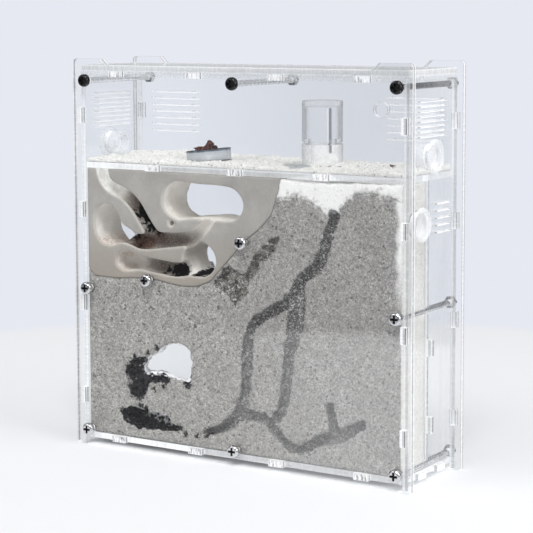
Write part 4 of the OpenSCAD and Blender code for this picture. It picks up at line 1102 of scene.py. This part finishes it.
def make_bolts(node, name, centres, black=False):
    """The node's mesh with the walls and floor of each cross recess painted dark, as painted
    shade.
    """
    o = add_object(name, NODES[node].data.copy())
    me = o.data
    me.materials.clear()
    me.materials.append(steel_material("steel_" + name, black))
    me.materials.append(RECESS_SHADE)
    n = len(me.polygons)
    c = np.zeros(n * 3)
    no = np.zeros(n * 3)
    me.polygons.foreach_get("center", c)
    me.polygons.foreach_get("normal", no)
    c, no = c.reshape(-1, 3) * 1000, no.reshape(-1, 3)
    pick = np.zeros(n, np.int32)
    for x, z in centres:
        dx, dz = np.abs(c[:, 0] - x), np.abs(c[:, 2] - z)
        cross = ((dx < CROSS_LONG) & (dz < CROSS_WIDE)) | ((dz < CROSS_LONG) & (dx < CROSS_WIDE))
        pick |= (cross & (c[:, 1] < -28.5) & (c[:, 1] > -30.55)).astype(np.int32)
    me.polygons.foreach_set("material_index", pick)
    me.update()
    stand_for(o, node, "case")


def set_metal():
    nut = steel_material("steel_nuts")
    for n in ("top_nuts", "nest_nuts", "bottom_nuts"):
        finish_node(n, nut)
    make_bolts("top_bolts", "bolts_top", TOP_BOLTS, True)
    make_bolts("nest_bolts", "bolts_nest", NEST_BOLTS)
    make_bolts("bottom_bolts", "bolts_bottom", BOTTOM_BOLTS)


# ---------- plugs, dish, feeder ----------
def plug_material(name, cover):
    t = Tree(name)
    p = t.place()
    n = t.noise(p, 120.0, 3.0, 0.6)
    c = t.mix(n, srgb(236, 238, 241), srgb(252, 252, 253))
    body = t.principled(Base_Color=c, Roughness=t.step(n, 0.3, 0.7, 0.3, 0.42),
                        Specular_IOR_Level=0.5,
                        Normal=t.bump(t.noise(p, 900.0, 2.0), 0.08, 0.0002))
    over = t.scaled(t.math("POWER", t.facing(), 2.0), 0.5, cover, clamp=True)
    cloud = t.step(t.noise(p, 160.0, 3.0, 0.6), 0.3, 0.7, 0.85, 1.15)
    over = t.times(over, cloud, clamp=True)
    return t.skin(t.shadow(over, 0.15), (0.98, 0.982, 0.985), body)


def tube_material(name, cover, tones, body=0.0, body_tone=232, refraction_streak=False):
    """Thin turned plastic: nearly clear where it is seen square on, grey towards its sides."""
    t = Tree(name)
    p = t.place()
    x, y, z = t.split(p)
    facing = t.facing()
    n = t.noise(p, 240.0, 4.0, 0.6)
    level = t.step(t.size(t.split(t.flat())[2]), 0.7, 0.9)
    f = t.split(t.ramp(facing, [(a, (b, b, b)) for a, b in cover]))[0]
    f = t.scaled(level, t.minus(0.16, f), f)
    tone = t.mix(level, t.ramp(facing, greys(tones)), srgb(246, 247, 248))
    cloud = t.times(t.step(n, 0.3, 0.75, 0.7, 1.3), body)
    tone = t.mix(t.math("DIVIDE", cloud, t.plus(t.plus(f, cloud), 0.001)), tone,
                 srgb(body_tone, body_tone, body_tone))
    f = t.plus(f, cloud, clamp=True)
    if refraction_streak:                            # painted dark line of a refraction, with a painted glint beside it
        turn = t.math("ARCTAN2", y, t.minus(x, FEEDER_X / 1000))
        turn = t.plus(turn, math.radians(36.5))
        line = t.step(t.size(turn), 0.075, 0.05)
        glint = t.step(t.size(t.plus(turn, 0.13)), 0.05, 0.03)
        low = t.times(t.step(z, 0.1585, 0.1595), t.step(z, 0.1815, 0.1812))
        f = t.most(f, t.times(t.most(line, glint), t.times(low, 0.75)))
        tone = t.mix(t.times(line, low), tone, srgb(122, 124, 132))
        tone = t.mix(t.times(glint, low), tone, srgb(240, 241, 244))
    skin = t.principled(Base_Color=tone, Roughness=t.step(n, 0.3, 0.7, 0.1, 0.2),
                        Specular_IOR_Level=0.6,
                        Normal=t.bump(t.noise(p, 700.0, 2.0), 0.05, 0.0002))
    return t.skin(t.shadow(f, 0.06), (0.985, 0.988, 0.992), skin)


def dish_material():
    t = Tree("clear_dish")
    p = t.place()
    x, _, z = t.split(p)
    n = t.noise(p, 200.0, 4.0, 0.6)
    tilt = math.radians(DISH_TILT)
    side, up = math.sin(tilt), math.cos(tilt)
    up = t.plus(t.scaled(x, -side, side * DISH_X / 1000), t.scaled(z, up, -up * DISH_Z / 1000))
    # Darker at the bottom as a painted shadow, and darker towards the rim
    c = t.ramp(t.times(up, 1000 / DISH_HIGH),
               [(0.0, srgb(92, 96, 102)), (0.14, srgb(196, 199, 203)), (0.5, srgb(204, 208, 212)),
                (0.8, srgb(190, 195, 201)), (0.86, srgb(110, 117, 128)), (1.0, srgb(70, 77, 88))])
    c = t.mix(t.step(n, 0.45, 0.75, 0.0, 0.4), c, srgb(226, 229, 232))
    skin = t.principled(Base_Color=c, Roughness=t.step(n, 0.3, 0.7, 0.14, 0.28),
                        Specular_IOR_Level=0.5, Normal=t.bump(n, 0.1, 0.0003))
    return t.skin(t.shadow(t.step(n, 0.2, 0.8, 0.72, 0.86), 0.3), (0.95, 0.965, 0.975), skin)


def wick_material():
    t = Tree("wick_fibre")
    p = t.place((1.0, 1.0, 0.3))
    n = t.noise(p, 2600.0, 4.0, 0.7)
    m = t.noise(t.place(), 300.0, 3.0)
    c = t.mix(n, srgb(226, 224, 216), srgb(252, 252, 249))
    t.surface(t.principled(Base_Color=c, Roughness=t.step(m, 0.3, 0.7, 0.85, 0.97),
                           Specular_IOR_Level=0.15, Normal=t.bump(n, 0.6, 0.0005)))
    return t.mat


def set_small_parts():
    for n, cover in (("left_arena_plug", 0.22), ("right_arena_plug", 0.24),
                     ("right_nest_plug", 0.32)):
        finish_node(n, plug_material("milky_" + n, cover))
    finish_node("feeding_dish", dish_material())
    cover = [(0.0, 0.03), (0.3, 0.04), (0.42, 0.2), (0.6, 0.4), (0.8, 0.34), (1.0, 0.55)]
    tones = [(0.0, 240), (0.4, 212), (0.55, 170), (0.75, 158), (0.86, 226), (1.0, 246)]
    finish_node("feeder_bottle", tube_material("feeder_bottle", cover, tones, 0.03, 232, True))
    finish_node("feeder_cap", tube_material("feeder_cap", cover, tones, 0.16, 206))
    finish_node("feeder_sleeve", tube_material("feeder_sleeve", cover, tones, 0.5, 252, True))
    disc = [(0.0, 0.05), (0.7, 0.1), (0.9, 0.2), (1.0, 0.5)]
    finish_node("feeder_base", tube_material("feeder_base", disc, [(0.0, 244), (1.0, 240)], 0.04,
                                             248))
    finish_node("feeder_wick", wick_material())


SAND = sand_material()
FOOD = food_material()
RECESS_SHADE = recess_shade_material()
set_camera()
set_world()
set_lamps()
set_floor()
for sheet_name, sheet_look in SHEETS.items():
    finish_node(sheet_name, sheet_material("clear_" + sheet_name, sheet_look))
make_insert()
make_nest_sand()
make_pale_sand()
make_arena_sand()
make_food("food_portion", "dried_insect", "dish", 0.00035, 0.0011, 0.0022, 5)
make_food("food_scraps", "crumbs", "case", 0.0002, 0.0006, 0.0009, 6)
set_metal()
set_small_parts()

bpy.context.scene.view_settings.view_transform = "Standard"
bpy.context.scene.cycles.transparent_max_bounces = 48
